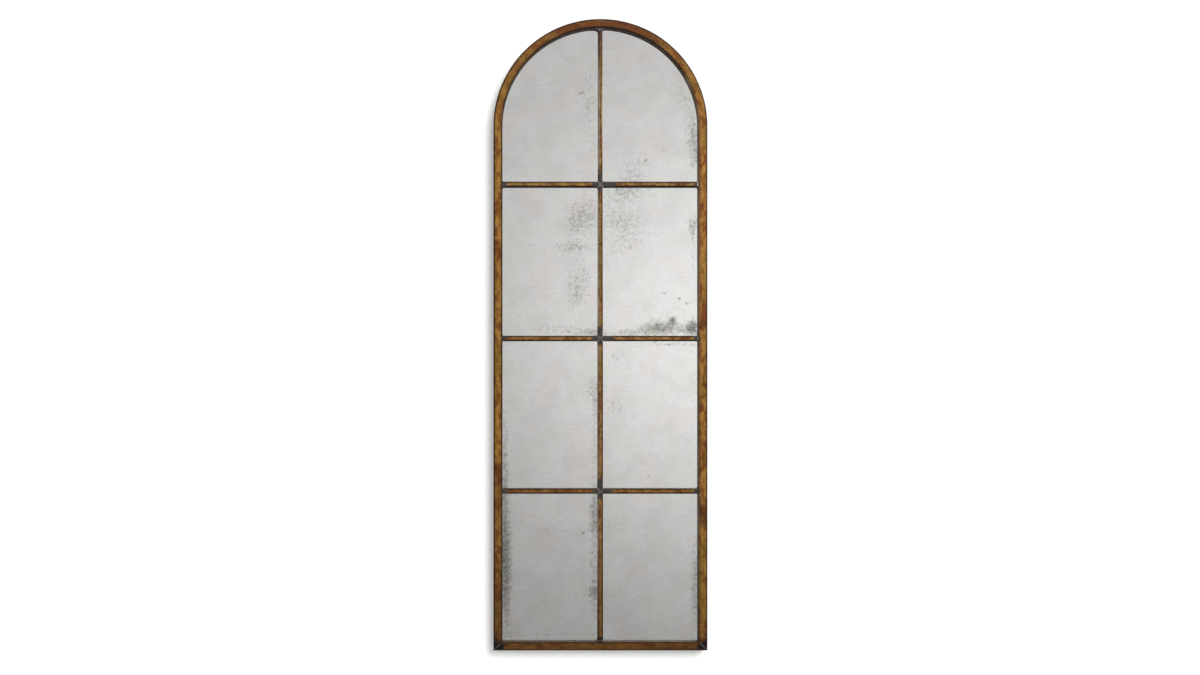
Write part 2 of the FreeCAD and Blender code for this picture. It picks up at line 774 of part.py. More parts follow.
uprights_at = {
    "low": ("upright_foot", "upright_lower"),
    "middle": ("upright_lower", "upright_upper"),
    "high": ("upright_upper", "upright_top"),
}
pieces["crossing_welds"] = group("crossing_welds", [
    crossing_weld(level, [pieces[name] for name in (f"left_crossbar_{level}", f"right_crossbar_{level}", *ends)])
    for level, ends in uprights_at.items()])
pieces["bar_end_welds"] = group("bar_end_welds", [
    bar_end_weld(level, side, pieces[f"{word}_crossbar_{level}"], pieces[f"{word}_leg"])
    for level in CROSSINGS for word, side in (("left", -1), ("right", 1))])
foot_half, apex_half = SIZES["upright_width_foot"] / 2, SIZES["upright_width_apex"] / 2
flare_end = apex_half + SIZES["apex_flare"]
flare_level = springline.value + math.sqrt(opening_half.value ** 2 - flare_end ** 2)
pieces["foot_weld"] = group("foot_weld", [
    end_weld(foot_half, SIZES["face_width"], SIZES["weld_round"], SIZES["weld_round"], 1, SIZES["face_width"],
             pieces["upright_foot"], pieces["bottom_rail"])])
pieces["apex_weld"] = group("apex_weld", [
    end_weld(apex_half, apex_height.value, SIZES["apex_flare"], SIZES["apex_drop"], -1, flare_level,
             pieces["upright_top"], pieces["arch"])])
pieces["mitre_welds"] = group("mitre_welds", [mitre_bead(side, bead) for side in (-1, 1)])
doc.recompute()

for thing in doc.Objects:
    failed = [word for word in thing.State if word in ("Invalid", "Error")]
    if failed:
        raise RuntimeError(f"{thing.Name} ({thing.Label}) did not compute: {failed}")
for label, piece in pieces.items():
    if piece.Shape.isNull() or not piece.Shape.isValid() or not piece.Shape.Solids:
        raise RuntimeError(f"{label} has no valid solid")

os.makedirs("parts", exist_ok=True)
for label, piece in pieces.items():
    piece.Shape.exportStep(f"parts/{label}.step")
    box = piece.Shape.optimalBoundingBox()
    print(f"{label}: {len(piece.Shape.Solids)} solid(s), {piece.Shape.Volume:.0f} mm3, "
          f"x {box.XMin:.2f}..{box.XMax:.2f}, y {box.YMin:.2f}..{box.YMax:.2f}, z {box.ZMin:.2f}..{box.ZMax:.2f}")
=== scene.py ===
"""Arched window-pane mirror in patinated iron: its looks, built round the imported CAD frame."""
import json
import logging
import math
import random
from dataclasses import dataclass, field
from enum import Enum
from typing import Callable, Optional

import bmesh
import bpy
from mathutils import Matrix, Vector


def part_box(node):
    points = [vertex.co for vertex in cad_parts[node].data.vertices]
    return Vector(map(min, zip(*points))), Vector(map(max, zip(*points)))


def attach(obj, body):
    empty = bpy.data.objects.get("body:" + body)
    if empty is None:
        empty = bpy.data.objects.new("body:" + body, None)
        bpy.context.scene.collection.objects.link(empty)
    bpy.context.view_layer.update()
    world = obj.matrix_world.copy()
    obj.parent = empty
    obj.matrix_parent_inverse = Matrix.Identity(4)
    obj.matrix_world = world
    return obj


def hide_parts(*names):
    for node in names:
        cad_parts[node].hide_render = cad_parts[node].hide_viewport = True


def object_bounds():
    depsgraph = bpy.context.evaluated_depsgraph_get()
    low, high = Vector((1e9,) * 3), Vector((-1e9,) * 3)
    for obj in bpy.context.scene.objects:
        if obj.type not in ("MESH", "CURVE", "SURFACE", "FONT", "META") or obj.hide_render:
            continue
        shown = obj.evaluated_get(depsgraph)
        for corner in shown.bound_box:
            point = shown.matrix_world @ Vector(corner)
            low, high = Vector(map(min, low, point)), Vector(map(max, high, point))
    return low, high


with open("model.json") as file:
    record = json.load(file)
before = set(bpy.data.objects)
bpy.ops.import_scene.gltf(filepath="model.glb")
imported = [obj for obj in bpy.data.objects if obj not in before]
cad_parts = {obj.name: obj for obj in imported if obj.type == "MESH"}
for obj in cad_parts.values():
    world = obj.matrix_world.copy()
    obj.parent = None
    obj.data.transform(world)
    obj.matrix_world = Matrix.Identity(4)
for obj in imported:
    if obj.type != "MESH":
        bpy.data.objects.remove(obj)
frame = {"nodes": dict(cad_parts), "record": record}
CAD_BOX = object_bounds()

LOG = logging.getLogger("arched_mirror")
MM = 0.001
QUARTER = math.pi / 2
RECORD = frame["record"]
BODY_OF = {node: body for body, nodes in RECORD["behaviour"]["bodies"].items() for node in nodes}
# corners nearer than this are one corner, in the CAD triangles and in the meshes made here
CAD_GAP, OWN_GAP = 1e-6, 1e-7

Tree, Node, Piece = bpy.types.NodeTree, bpy.types.Node, bpy.types.Object
Point = tuple[float, float]
Place = tuple[float, float, float]
Outline = list[Point]
Layer = tuple[object, float, float, float, str]


class Side(Enum):
    """The two sides of the mirror as seen from the front, with the sign of their X."""

    LEFT = -1
    RIGHT = 1

    @property
    def word(self) -> str:
        """The side's name as the CAD nodes spell it."""
        return self.name.lower()


class Crossing(Enum):
    """The three heights at which a crossbar meets the upright."""

    LOW = "low"
    MIDDLE = "middle"
    HIGH = "high"


def linear(colour: str) -> tuple[float, float, float, float]:
    """Turn an sRGB hex colour into linear RGBA.

    Args:
        colour: Six hex digits, such as "8a6234".

    Returns:
        Linear red, green, blue and an alpha of 1.
    """
    parts = [int(colour[start:start + 2], 16) / 255 for start in (0, 2, 4)]
    return (*[c / 12.92 if c <= 0.04045 else ((c + 0.055) / 1.055) ** 2.4 for c in parts], 1.0)


def add(tree: Tree, kind: str, sockets: Optional[dict] = None, **settings: object) -> Node:
    """Add a node with its settings, values and links.

    Args:
        tree: The tree that gets the node.
        kind: The node's type name.
        sockets: Input name or index to a value, to an output, or to a node whose first live output feeds it.
        settings: Properties of the node itself.

    Returns:
        The new node.
    """
    node = tree.nodes.new(kind)
    for name, value in settings.items():
        setattr(node, name, value)
    for key, value in (sockets or {}).items():
        if isinstance(value, Node):
            value = next(socket for socket in value.outputs if socket.enabled)
        if isinstance(value, bpy.types.NodeSocket):
            tree.links.new(value, node.inputs[key])
        else:
            node.inputs[key].default_value = value
    return node


def per_metre(size_mm: float) -> float:
    """Turn the width of one blotch in millimetres into a pattern's scale on metres."""
    return 1 / (size_mm * MM)


def arc(middle: Point, radii: Point, start: float, end: float, steps: int) -> Outline:
    """Divide an arc of a circle or an ellipse.

    Args:
        middle: Its centre.
        radii: Its half sizes along the two axes.
        start: First angle.
        end: Last angle.
        steps: Number of parts.

    Returns:
        The points, with both ends.
    """
    turns = [start + (end - start) * step / steps for step in range(steps + 1)]
    return [(middle[0] + radii[0] * math.cos(turn), middle[1] + radii[1] * math.sin(turn)) for turn in turns]


@dataclass(frozen=True)
class Finish:
    """A material of the mirror; each kind below says how its surface was made."""

    name: str

    def build(self) -> bpy.types.Material:
        """Make the material from the finish's own surface.

        Returns:
            The material.
        """
        material = bpy.data.materials.new(self.name)
        material.use_nodes = True
        tree = material.node_tree
        tree.nodes.clear()
        add(tree, "ShaderNodeOutputMaterial", {"Surface": self.surface(tree)})
        return material

    def surface(self, tree: Tree) -> Node:
        """Give the Principled shader with what the finish draws."""
        return add(tree, "ShaderNodeBsdfPrincipled", self.draw(tree))

    def draw(self, tree: Tree) -> dict[str, object]:
        """Draw the finish's nodes.

        Args:
            tree: The material's tree.

        Returns:
            Input name of the Principled shader to its value or node.
        """
        raise NotImplementedError

    def layered(self, tree: Tree, base: str, layers: tuple[Layer, ...]) -> tuple[Node, Node]:
        """Lay tones over a base tone, each where its pattern passes from low to high.

        Args:
            tree: The material's tree.
            base: The tone underneath.
            layers: Pattern, low, high, greatest share and tone of each layer, the lowest layer first.

        Returns:
            The mixed colour, and the share of the last layer.
        """
        colour: object = linear(base)
        for pattern, low, high, most, tone in layers:
            share = add(tree, "ShaderNodeMapRange", {
                "Value": pattern, "From Min": low, "From Max": high, "To Max": most}, interpolation_type="SMOOTHSTEP")
            colour = add(tree, "ShaderNodeMix", {0: share, 6: colour, 7: linear(tone)}, data_type="RGBA")
        return colour, share


@dataclass(frozen=True)
class BurnishedIron(Finish):
    """Mild steel tube and flat bar with a brushed gold-brown patina under satin wax.

    The middle of each face is burnished back to gold, the edges stay near black, and the colour runs in
    blotches along the length, red-brown in one place and olive in the next. Heat near a weld turned it slate.
    A pale metal tone is painted on some edges as a painted sheen, and the narrow side walls take a paler, greyer
    tone, partly patina and partly painted sheen. Umber painted shade lies over the top of the arch, and the
    tone darkens towards the bottom, partly patina and partly painted shade.
    """

    gold: str = "a27638"
    brown: str = "7c4e1d"
    red: str = "74391a"
    olive: str = "786021"
    umber: str = "4a2c13"
    # paler, greyer tone of the side walls: partly the patina, partly a painted sheen
    side: str = "74675c"
    # pale tone of the painted sheen on edges that catch the light
    bare: str = "957b64"
    edge: str = "211610"
    slate: str = "565049"
    soot: str = "1c1715"
    roughness: float = 0.42
    stretch: float = 0.5
    brush: float = 0.03

    def draw(self, tree: Tree) -> dict[str, object]:
        """Draw the patina, with its painted sheen and painted shade, on the piece's own along, across, rim, lot,
        scorch, char, ruddy and rubbed marks.
        """
        read = {name: add(tree, "ShaderNodeAttribute", attribute_name=name).outputs["Fac"]
                for name in ("along", "across", "rim", "lot", "scorch", "char", "ruddy", "rubbed")}
        point = add(tree, "ShaderNodeTexCoord").outputs["Object"]
        height = add(tree, "ShaderNodeSeparateXYZ", {0: point}).outputs["Z"]
        # a blotch is twice as long as the noise makes it, and a brush mark some thirty times
        run, drag = (add(tree, "ShaderNodeMath", {0: read["along"], 1: share, 2: start}, operation="MULTIPLY_ADD")
                     for share, start in ((self.stretch, read["lot"]), (self.brush, 0.0)))
        place = add(tree, "ShaderNodeCombineXYZ", {"X": run, "Y": read["across"], "Z": read["lot"]})
        brushed = add(tree, "ShaderNodeCombineXYZ", {"X": drag, "Y": read["across"]})
        blotch, tint, cloud, fleck, scratch = (
            add(tree, "ShaderNodeTexNoise", {"Vector": where, "Scale": per_metre(size), "Detail": detail,
                                             "Roughness": grit, "Distortion": warp})
            for where, size, detail, grit, warp in (
                (place, 15, 6.0, 0.62, 0.3), (place, 34, 5.0, 0.6, 0.8), (point, 22, 6.0, 0.68, 1.0),
                (point, 2.2, 3.0, 0.5, 0.0), (brushed, 0.9, 2.0, 0.5, 0.0)))
        # low_down: umber towards the bottom, deeper where the patina is redder; partly the patina's own tone, partly
        # painted shade for the light falling off downwards
        tint, low_down, painted_shade_top, ragged, spread, rough, relief = (
            add(tree, "ShaderNodeMath", {0: pattern, 1: share, 2: rest}, operation="MULTIPLY_ADD")
            for pattern, share, rest in (
                (read["ruddy"], 0.14, tint), (cloud, 0.9, height), (cloud, 0.3, height),
                (cloud, 5 * MM, read["rim"]), (cloud, 1.6, read["scorch"]),
                (cloud, -0.2, self.roughness + 0.1), (fleck, 1.0, blotch)))
        low_down, rough, relief = (
            add(tree, "ShaderNodeMath", {0: pattern, 1: share, 2: rest}, operation="MULTIPLY_ADD")
            for pattern, share, rest in (
                (read["ruddy"], -0.9, low_down), (scratch, 0.2, rough), (scratch, 0.3, relief)))
        # the dark rim fades over the outer 8 mm, ragged by the clouds
        near, rim, scorch = (
            add(tree, "ShaderNodeMapRange", {
                "Value": pattern, "From Min": low, "From Max": high, "To Max": most}, interpolation_type="SMOOTHSTEP")
            for pattern, low, high, most in (
                (read["rim"], 6.5 * MM, 2.5 * MM, read["rubbed"]), (ragged, 10.6 * MM, 4.6 * MM, 1.0),
                (spread, 1.12, 1.42, 1.0)))
        # painted sheen: a pale tone within 6.5 mm of the rim where the rubbed patches lie, mottled by the clouds
        worn = add(tree, "ShaderNodeMath", {0: near, 1: cloud, 2: near}, operation="MULTIPLY_ADD")
        colour, _ = self.layered(tree, self.brown, (
            (blotch, 0.38, 0.62, 1.0, self.gold), (tint, 0.52, 0.64, 0.9, self.red),
            (tint, 0.45, 0.34, 0.7, self.olive), (scratch, 0.50, 0.72, 0.25, self.gold),
            # painted shade: umber laid over the top of the arch, growing with height
            (low_down, -0.5, -1.2, 0.7, self.umber), (painted_shade_top, 0.10, 0.62, 0.6, self.umber),
            # side walls take the paler, greyer tone, partly patina and partly painted sheen; then the pale painted
            # sheen near the rim
            (read["rim"], 1.0 * MM, 0.1 * MM, 0.95, self.side), (worn, 0.35, 1.0, 0.9, self.bare),
            (cloud, 0.45, 0.33, 0.55, self.umber), (cloud, 0.34, 0.26, 0.7, self.edge),
            (fleck, 0.36, 0.26, 0.5, self.edge), (blotch, 0.48, 0.36, 0.3, self.edge)))
        # the rim is less dark on the arris and under the painted sheen
        for value, start, end, first, last in ((read["rim"], 0.05 * MM, 0.5 * MM, 0.05, 0.96),
                                               (worn, 0.0, 1.2, 1.0, 0.1)):
            kept = add(tree, "ShaderNodeMapRange", {
                "Value": value, "From Min": start, "From Max": end, "To Min": first, "To Max": last})
            rim = add(tree, "ShaderNodeMath", {0: rim, 1: kept}, operation="MULTIPLY")
        colour = add(tree, "ShaderNodeMix", {0: rim, 6: colour, 7: linear(self.edge)}, data_type="RGBA")
        blue = add(tree, "ShaderNodeMath", {0: blotch, 1: read["char"]}, operation="SUBTRACT", use_clamp=True)
        burnt = add(tree, "ShaderNodeMix", {0: blue, 6: linear(self.soot), 7: linear(self.slate)}, data_type="RGBA")
        colour = add(tree, "ShaderNodeMix", {0: scorch, 6: colour, 7: burnt}, data_type="RGBA")
        # soot on the rim hides the metal and takes no wax
        metal, wax = (add(tree, "ShaderNodeMapRange", {"Value": rim, "To Min": most, "To Max": least})
                      for most, least in ((0.55, 0.08), (0.06, 0.0)))
        bump = add(tree, "ShaderNodeBump", {"Height": relief, "Distance": 0.14 * MM})
        return {"Base Color": colour, "Metallic": metal, "Roughness": rough, "Specular IOR Level": 0.15,
                "Coat Weight": wax, "Coat Roughness": 0.42, "Normal": bump}


@dataclass(frozen=True)
class GroundWeld(Finish):
    """Weld metal ground back with a disc and blackened: slate grey, brighter on the high spots, and pale where ridges
    are ground bright and where a painted highlight is laid.
    """

    high: str = "5f5a54"
    low: str = "2b2522"
    brown: str = "4a3420"
    # pale tone of ground-bright ridges and crests, and of the painted highlight at the bar ends
    worn: str = "a69f95"

    def draw(self, tree: Tree) -> dict[str, object]:
        """Draw the ground weld on Object coordinates and its worn attribute, with fine disc scratches."""
        point = add(tree, "ShaderNodeTexCoord").outputs["Object"]
        worn = add(tree, "ShaderNodeAttribute", attribute_name="worn").outputs["Fac"]
        lump, spatter = (
            add(tree, "ShaderNodeTexNoise", {"Vector": point, "Scale": per_metre(size), "Detail": detail})
            for size, detail in ((4, 3.0), (1.4, 2.0)))
        rubbed = add(tree, "ShaderNodeMath", {0: lump, 1: worn}, operation="MULTIPLY")
        colour, _ = self.layered(tree, self.low, (
            (lump, 0.36, 0.66, 1.0, self.high), (spatter, 0.56, 0.70, 1.0, self.brown),
            (rubbed, 0.15, 0.50, 1.0, self.worn)))
        scratch = add(tree, "ShaderNodeTexWave", {"Vector": point, "Scale": per_metre(16), "Distortion": 6.0},
                      bands_direction="DIAGONAL").outputs["Fac"]
        height = add(tree, "ShaderNodeMath", {0: scratch, 1: 0.15, 2: lump}, operation="MULTIPLY_ADD")
        rough = add(tree, "ShaderNodeMapRange", {
            "Value": lump, "From Min": 0.3, "From Max": 0.7, "To Min": 0.52, "To Max": 0.34})
        return {"Base Color": colour, "Metallic": 0.6, "Roughness": rough,
                "Normal": add(tree, "ShaderNodeBump", {"Height": height, "Distance": 0.3 * MM})}


@dataclass(frozen=True)
class Coating(Finish):
    """A finish of two tones in clouds and flecks, with a fine bump.

    The base tone clouds over to the second across a few centimetres, and flecks of the second tone show
    where the surface was handled. The grain may be stretched along Z, as wiping and pressing leave it.
    """

    base: str
    second: str
    cloud_mm: float = 30.0
    fleck_mm: float = 2.4
    stretch: float = 1.0
    metallic: float = 0.0
    smooth: float = 0.4
    matt: float = 0.55
    bump_mm: float = 0.06
    clouding: float = 1.0

    def draw(self, tree: Tree) -> dict[str, object]:
        """Draw the two tones on Object coordinates."""
        point = add(tree, "ShaderNodeTexCoord").outputs["Object"]
        grain = add(tree, "ShaderNodeMapping", {"Vector": point, "Scale": (1.0, 1.0, self.stretch)})
        cloud, fleck = (
            add(tree, "ShaderNodeTexNoise", {"Vector": where, "Scale": per_metre(size), "Detail": detail})
            for where, size, detail in ((point, self.cloud_mm, 4.0), (grain, self.fleck_mm, 3.0)))
        colour, _ = self.layered(tree, self.base, (
            (cloud, 0.40, 0.68, self.clouding, self.second), (fleck, 0.54, 0.70, 0.7, self.second)))
        rough = add(tree, "ShaderNodeMapRange", {
            "Value": fleck, "From Min": 0.3, "From Max": 0.7, "To Min": self.smooth, "To Max": self.matt})
        bump = add(tree, "ShaderNodeBump", {"Height": fleck, "Distance": self.bump_mm * MM})
        return {"Base Color": colour, "Metallic": self.metallic, "Roughness": rough, "Normal": bump}


@dataclass(frozen=True)
class AntiquedSilvering(Finish):
    """Float glass silvered on the back and then foxed with acid.

    The reflection is a little grey, hazed in soft pinkish and olive clouds, with faint level streaks. The
    foxing is a spray of specks that crowd into smoky patches, with a warm halo round the worst of them.
    """

    silver: str = "eff1f4"
    blush: str = "f1eae6"
    tarnish: str = "ecefe3"
    haze: str = "e2e0df"
    stain: str = "dcd1cb"
    halo: str = "b0ada0"
    speck: str = "5c594e"

    def draw(self, tree: Tree) -> dict[str, object]:
        """Draw the silvering on Object coordinates and the sheet's own foxing attribute."""
        point = add(tree, "ShaderNodeTexCoord").outputs["Object"]
        foxing = add(tree, "ShaderNodeAttribute", attribute_name="foxing").outputs["Fac"]
        # faint streaks run level, 6 mm tall and 40 mm long, as the acid was wiped
        wiped = add(tree, "ShaderNodeMapping", {"Vector": point, "Scale": (0.15, 1.0, 1.0)})
        slow, cloud, grain, wisp, streak, ragged, fine, coarse = (
            add(tree, "ShaderNodeTexNoise", {"Vector": where, "Scale": per_metre(size), "Detail": detail,
                                             "Roughness": grit, "Distortion": warp})
            for where, size, detail, grit, warp in (
                (point, 120, 3.0, 0.5, 0.0), (point, 70, 5.0, 0.5, 0.0), (point, 7, 2.0, 0.5, 0.0),
                (point, 22, 4.0, 0.5, 0.5), (wiped, 6, 3.0, 0.5, 0.0), (point, 12, 4.0, 0.5, 0.0),
                (point, 4.2, 5.0, 0.7, 0.4), (point, 9.0, 5.0, 0.7, 0.4)))
        lift = add(tree, "ShaderNodeMath", {0: ragged, 1: 0.5}, operation="SUBTRACT")
        dense = add(tree, "ShaderNodeMath", {0: lift, 1: 1.1, 2: foxing}, operation="MULTIPLY_ADD")
        # a dot in each cell of 1.8, 3 or 6 mm is as wide as the foxing there is dense, less the cell's own chance
        spread: object = -1.0
        for cell in (1.8, 3.0, 6.0):
            cells = add(tree, "ShaderNodeTexVoronoi", {"Vector": point, "Scale": per_metre(cell)})
            chance = add(tree, "ShaderNodeSeparateColor", {0: cells.outputs["Color"]}).outputs[0]
            dot = dense
            for value, operation in ((chance, "SUBTRACT"), (0.2, "MINIMUM"), (cells.outputs["Distance"], "SUBTRACT"),
                                     (spread, "MAXIMUM")):
                dot = add(tree, "ShaderNodeMath", {0: dot, 1: value}, operation=operation)
            spread = dot
        faint, thick = (add(tree, "ShaderNodeMath", {0: dense, 1: rise, 2: mottle}, operation="MULTIPLY_ADD")
                        for rise, mottle in ((0.6, fine), (0.5, coarse)))
        colour, share = self.layered(tree, self.silver, (
            (slow, 0.44, 0.66, 0.7, self.blush), (slow, 0.56, 0.34, 0.6, self.tarnish),
            (cloud, 0.40, 0.66, 0.5, self.haze), (wisp, 0.50, 0.70, 0.3, self.haze),
            (grain, 0.46, 0.70, 0.3, self.haze), (streak, 0.50, 0.70, 0.3, self.stain),
            (dense, 0.10, 0.90, 0.45, self.halo), (faint, 0.60, 1.00, 0.42, self.speck),
            (thick, 0.82, 1.10, 0.7, self.speck), (spread, -0.35, 0.15, 0.48, self.speck)))
        rough, metal = (add(tree, "ShaderNodeMath", {0: share, 1: gain, 2: start}, operation="MULTIPLY_ADD")
                        for gain, start in ((0.40, 0.07), (-0.4, 1.0)))
        return {"Base Color": colour, "Metallic": metal, "Roughness": rough}


@dataclass(frozen=True)
class WallPaint(Finish):
    """Matt white paint of the studio wall and floor, seen only from the room and by the camera alone."""

    paint: str = "ffffff"
    glow: float = 0.166

    def surface(self, tree: Tree) -> Node:
        """Give the paint's shader; its back lets the camera through, for views of the mirror's rear.

        Args:
            tree: The material's tree.

        Returns:
            The shader.
        """
        behind = add(tree, "ShaderNodeNewGeometry").outputs["Backfacing"]
        paint = add(tree, "ShaderNodeBsdfDiffuse", {"Color": linear(self.paint)})
        glow = add(tree, "ShaderNodeEmission", {"Color": linear(self.paint), "Strength": self.glow})
        front = add(tree, "ShaderNodeAddShader", {0: paint, 1: glow})
        return add(tree, "ShaderNodeMixShader", {0: behind, 1: front, 2: add(tree, "ShaderNodeBsdfTransparent")})


LACQUERED_STEEL = Coating("lacquered_steel", "2b2119", "46362a", metallic=0.3)
ZINC_PLATE = Coating("zinc_plate", "c3c4c2", "a4abb1", 5.0, 0.7, 0.2, 1.0, 0.24, 0.42, 0.02)
HARDBOARD = Coating("hardboard", "6b4c31", "8a6a49", 90.0, 1.1, 0.5, 0.0, 0.62, 0.8, 0.12, 0.25)
FOAM_TAPE = Coating("black_foam", "1c1b1b", "2b2a29", 9.0, 1.2, 1.0, 0.0, 0.75, 0.92, 0.08)
PACKER_RUBBER = Coating("packer_rubber", "232120", "3a3735", 9.0, 0.8, 1.0, 0.0, 0.65, 0.85, 0.08)
BUMPER_RUBBER = Coating("bumper_rubber", "262423", "3d3a38", 9.0, 0.6, 1.0, 0.0, 0.6, 0.8, 0.05)


@dataclass(frozen=True)
class Worked:
    """How one length of metal was worked: its own lot of patina, where its run starts, and its dents."""

    lot: float = 0.0
    start: float = 0.0
    dent: float = 0.0
    dent_size: float = 20 * MM


class Workshop:
    """Makes, bakes and seats pieces; every sub-assembly works in the same one."""

    def __init__(self) -> None:
        """Build the node trees and start with no finishes."""
        self.finishes: dict[str, bpy.types.Material] = {}
        skin = {"Dent Depth": "Float", "Dent Size": "Float", "Material": "Material"}
        swept = {"Section": "Object", "Half Width": "Float", "Lot": "Float", "Start": "Float", **skin}
        self.tube_tree = self._tree("SectionAlongPath", swept, self._swept)
        self.fixing_tree = self._tree("FixingsOnPoints", {"Seed": "Object", "Material": "Material"}, self._copied)
        self.weld_tree = self._tree("WeldSkin", skin, self._hammered)

    def _tree(self, name: str, inputs: dict[str, str], make: Callable[[Tree, Node], Node]) -> Tree:
        """Build a Geometry Nodes tree that ends with Realize Instances and Set Material.

        Args:
            name: The tree's name.
            inputs: Input name to the kind of its socket, after the geometry itself; one is Material.
            make: Adds the tree's own nodes after its Group Input node.

        Returns:
            The tree.
        """
        tree = bpy.data.node_groups.new(name, "GeometryNodeTree")
        for label, kind in {"Geometry": "Geometry", **inputs}.items():
            tree.interface.new_socket(label, in_out="INPUT", socket_type=f"NodeSocket{kind}")
        tree.interface.new_socket("Geometry", in_out="OUTPUT", socket_type="NodeSocketGeometry")
        entry = add(tree, "NodeGroupInput")
        real = add(tree, "GeometryNodeRealizeInstances", {"Geometry": make(tree, entry)})
        dressed = add(tree, "GeometryNodeSetMaterial", {"Geometry": real, "Material": entry.outputs["Material"]})
        add(tree, "NodeGroupOutput", {"Geometry": dressed})
        return tree

    def _hammered(self, tree: Tree, entry: Node, geometry: Optional[Node] = None) -> Node:
        """Sink the surface inwards by a smooth noise, as hammering and filing leave it.

        Args:
            tree: The tree.
            entry: Its Group Input node.
            geometry: What makes the mesh, or None for the mesh that comes in.

        Returns:
            The last node.
        """
        rate = add(tree, "ShaderNodeMath", {0: 1.0, 1: entry.outputs["Dent Size"]}, operation="DIVIDE")
        noise = add(tree, "ShaderNodeTexNoise", {"Scale": rate, "Detail": 1.5, "Roughness": 0.5})
        sink = add(tree, "ShaderNodeMath", {0: noise, 1: entry.outputs["Dent Depth"]}, operation="MULTIPLY")
        inward = add(tree, "ShaderNodeMath", {0: sink, 1: -1.0}, operation="MULTIPLY")
        normal = add(tree, "GeometryNodeInputNormal")
        offset = add(tree, "ShaderNodeVectorMath", {0: normal, "Scale": inward}, operation="SCALE")
        return add(tree, "GeometryNodeSetPosition", {"Geometry": geometry or entry, "Offset": offset})

    def _swept(self, tree: Tree, entry: Node) -> Node:
        """Run a section along a path drawn in plan, stand it upright and hammer it.

        Args:
            tree: The tree.
            entry: Its Group Input node.

        Returns:
            The last node.
        """
        spline = add(tree, "GeometryNodeSplineParameter").outputs["Length"]
        length = add(tree, "ShaderNodeMath", {0: spline, 1: entry.outputs["Start"]}, operation="ADD")
        path = add(tree, "GeometryNodeStoreNamedAttribute", {"Geometry": entry, "Name": "along", "Value": length},
                   data_type="FLOAT", domain="POINT")
        section = add(tree, "GeometryNodeObjectInfo", {"Object": entry.outputs["Section"]}).outputs["Geometry"]
        across = add(tree, "ShaderNodeSeparateXYZ", {0: add(tree, "GeometryNodeInputPosition")})
        distance = add(tree, "ShaderNodeMath", {0: across}, operation="ABSOLUTE")
        rim = add(tree, "ShaderNodeMath", {0: entry.outputs["Half Width"], 1: distance}, operation="SUBTRACT")
        for name, value in (("across", across), ("rim", rim)):
            section = add(tree, "GeometryNodeStoreNamedAttribute", {
                "Geometry": section, "Name": name, "Value": value}, data_type="FLOAT", domain="POINT")
        tube = add(tree, "GeometryNodeCurveToMesh", {"Curve": path, "Profile Curve": section, "Fill Caps": True})
        upright = add(tree, "GeometryNodeTransform", {"Geometry": tube, "Rotation": (QUARTER, 0.0, 0.0)})
        return add(tree, "GeometryNodeStoreNamedAttribute", {
            "Geometry": self._hammered(tree, entry, upright), "Name": "lot", "Value": entry.outputs["Lot"]},
            data_type="FLOAT", domain="POINT")

    def _copied(self, tree: Tree, entry: Node) -> Node:
        """Put a copy of the seed on every point, turned as the point says.

        Args:
            tree: The tree.
            entry: Its Group Input node.

        Returns:
            The last node.
        """
        seed = add(tree, "GeometryNodeObjectInfo", {"Object": entry.outputs["Seed"]}).outputs["Geometry"]
        turn = add(tree, "GeometryNodeInputNamedAttribute", {"Name": "turn"}, data_type="FLOAT_VECTOR")
        rotation = add(tree, "FunctionNodeEulerToRotation", {0: turn})
        return add(tree, "GeometryNodeInstanceOnPoints", {"Points": entry, "Instance": seed, "Rotation": rotation})

    def finish(self, kind: Finish) -> bpy.types.Material:
        """Give the material of a finish, built the first time that it is asked for."""
        if kind.name not in self.finishes:
            self.finishes[kind.name] = kind.build()
        return self.finishes[kind.name]

    def coat(self, piece: Piece, kind: Finish) -> None:
        """Give a piece one finish all over."""
        piece.data.materials.clear()
        piece.data.materials.append(self.finish(kind))

    def put(self, name: str, data: bpy.types.ID) -> Piece:
        """Link a new object with that data to the scene and give it."""
        piece = bpy.data.objects.new(name, data)
        bpy.context.scene.collection.objects.link(piece)
        return piece

    def drop(self, *pieces: Piece) -> None:
        """Remove scratch objects."""
        for piece in pieces:
            bpy.data.objects.remove(piece)

    def change(self, piece: Piece, kind: str, **settings: object) -> None:
        """Hang a modifier with its settings on a piece."""
        modifier = piece.modifiers.new(kind.title(), kind)
        for name, value in settings.items():
            setattr(modifier, name, value)

    def run_tree(self, piece: Piece, tree: Tree, inputs: dict[str, object]) -> None:
        """Hang a tree on a piece and set its inputs by socket identifier.

        Args:
            piece: The piece.
            tree: The Geometry Nodes tree.
            inputs: Input name to value.
        """
        modifier = piece.modifiers.new(tree.name, "NODES")
        modifier.node_group = tree
        for item in tree.interface.items_tree:
            if item.in_out == "INPUT" and item.name in inputs:
                modifier[item.identifier] = inputs[item.name]

    def bake(self, piece: Piece) -> Piece:
        """Turn a piece and its modifiers into a plain mesh piece of the same name.

        Args:
            piece: What is evaluated and then removed.

        Returns:
            The new piece, with no modifier.
        """
        bpy.context.view_layer.update()
        graph = bpy.context.evaluated_depsgraph_get()
        mesh = bpy.data.meshes.new_from_object(
            piece.evaluated_get(graph), preserve_all_data_layers=True, depsgraph=graph)
        mesh.name = name = piece.name
        self.drop(piece)
        return self.put(name, mesh)

    def soften(self, piece: Piece, degrees: float = 32.0) -> None:
        """Shade smooth, but keep edges sharper than that angle crisp."""
        piece.data.shade_smooth()
        piece.data.set_sharp_from_angle(angle=math.radians(degrees))

    def mark(self, piece: Piece, name: str, value: Callable[[Vector], float]) -> None:
        """Store on each vertex what the function gives for its place, for the finish to read."""
        values = [value(vertex.co) for vertex in piece.data.vertices]
        piece.data.attributes.new(name, "FLOAT", "POINT").data.foreach_set("value", values)

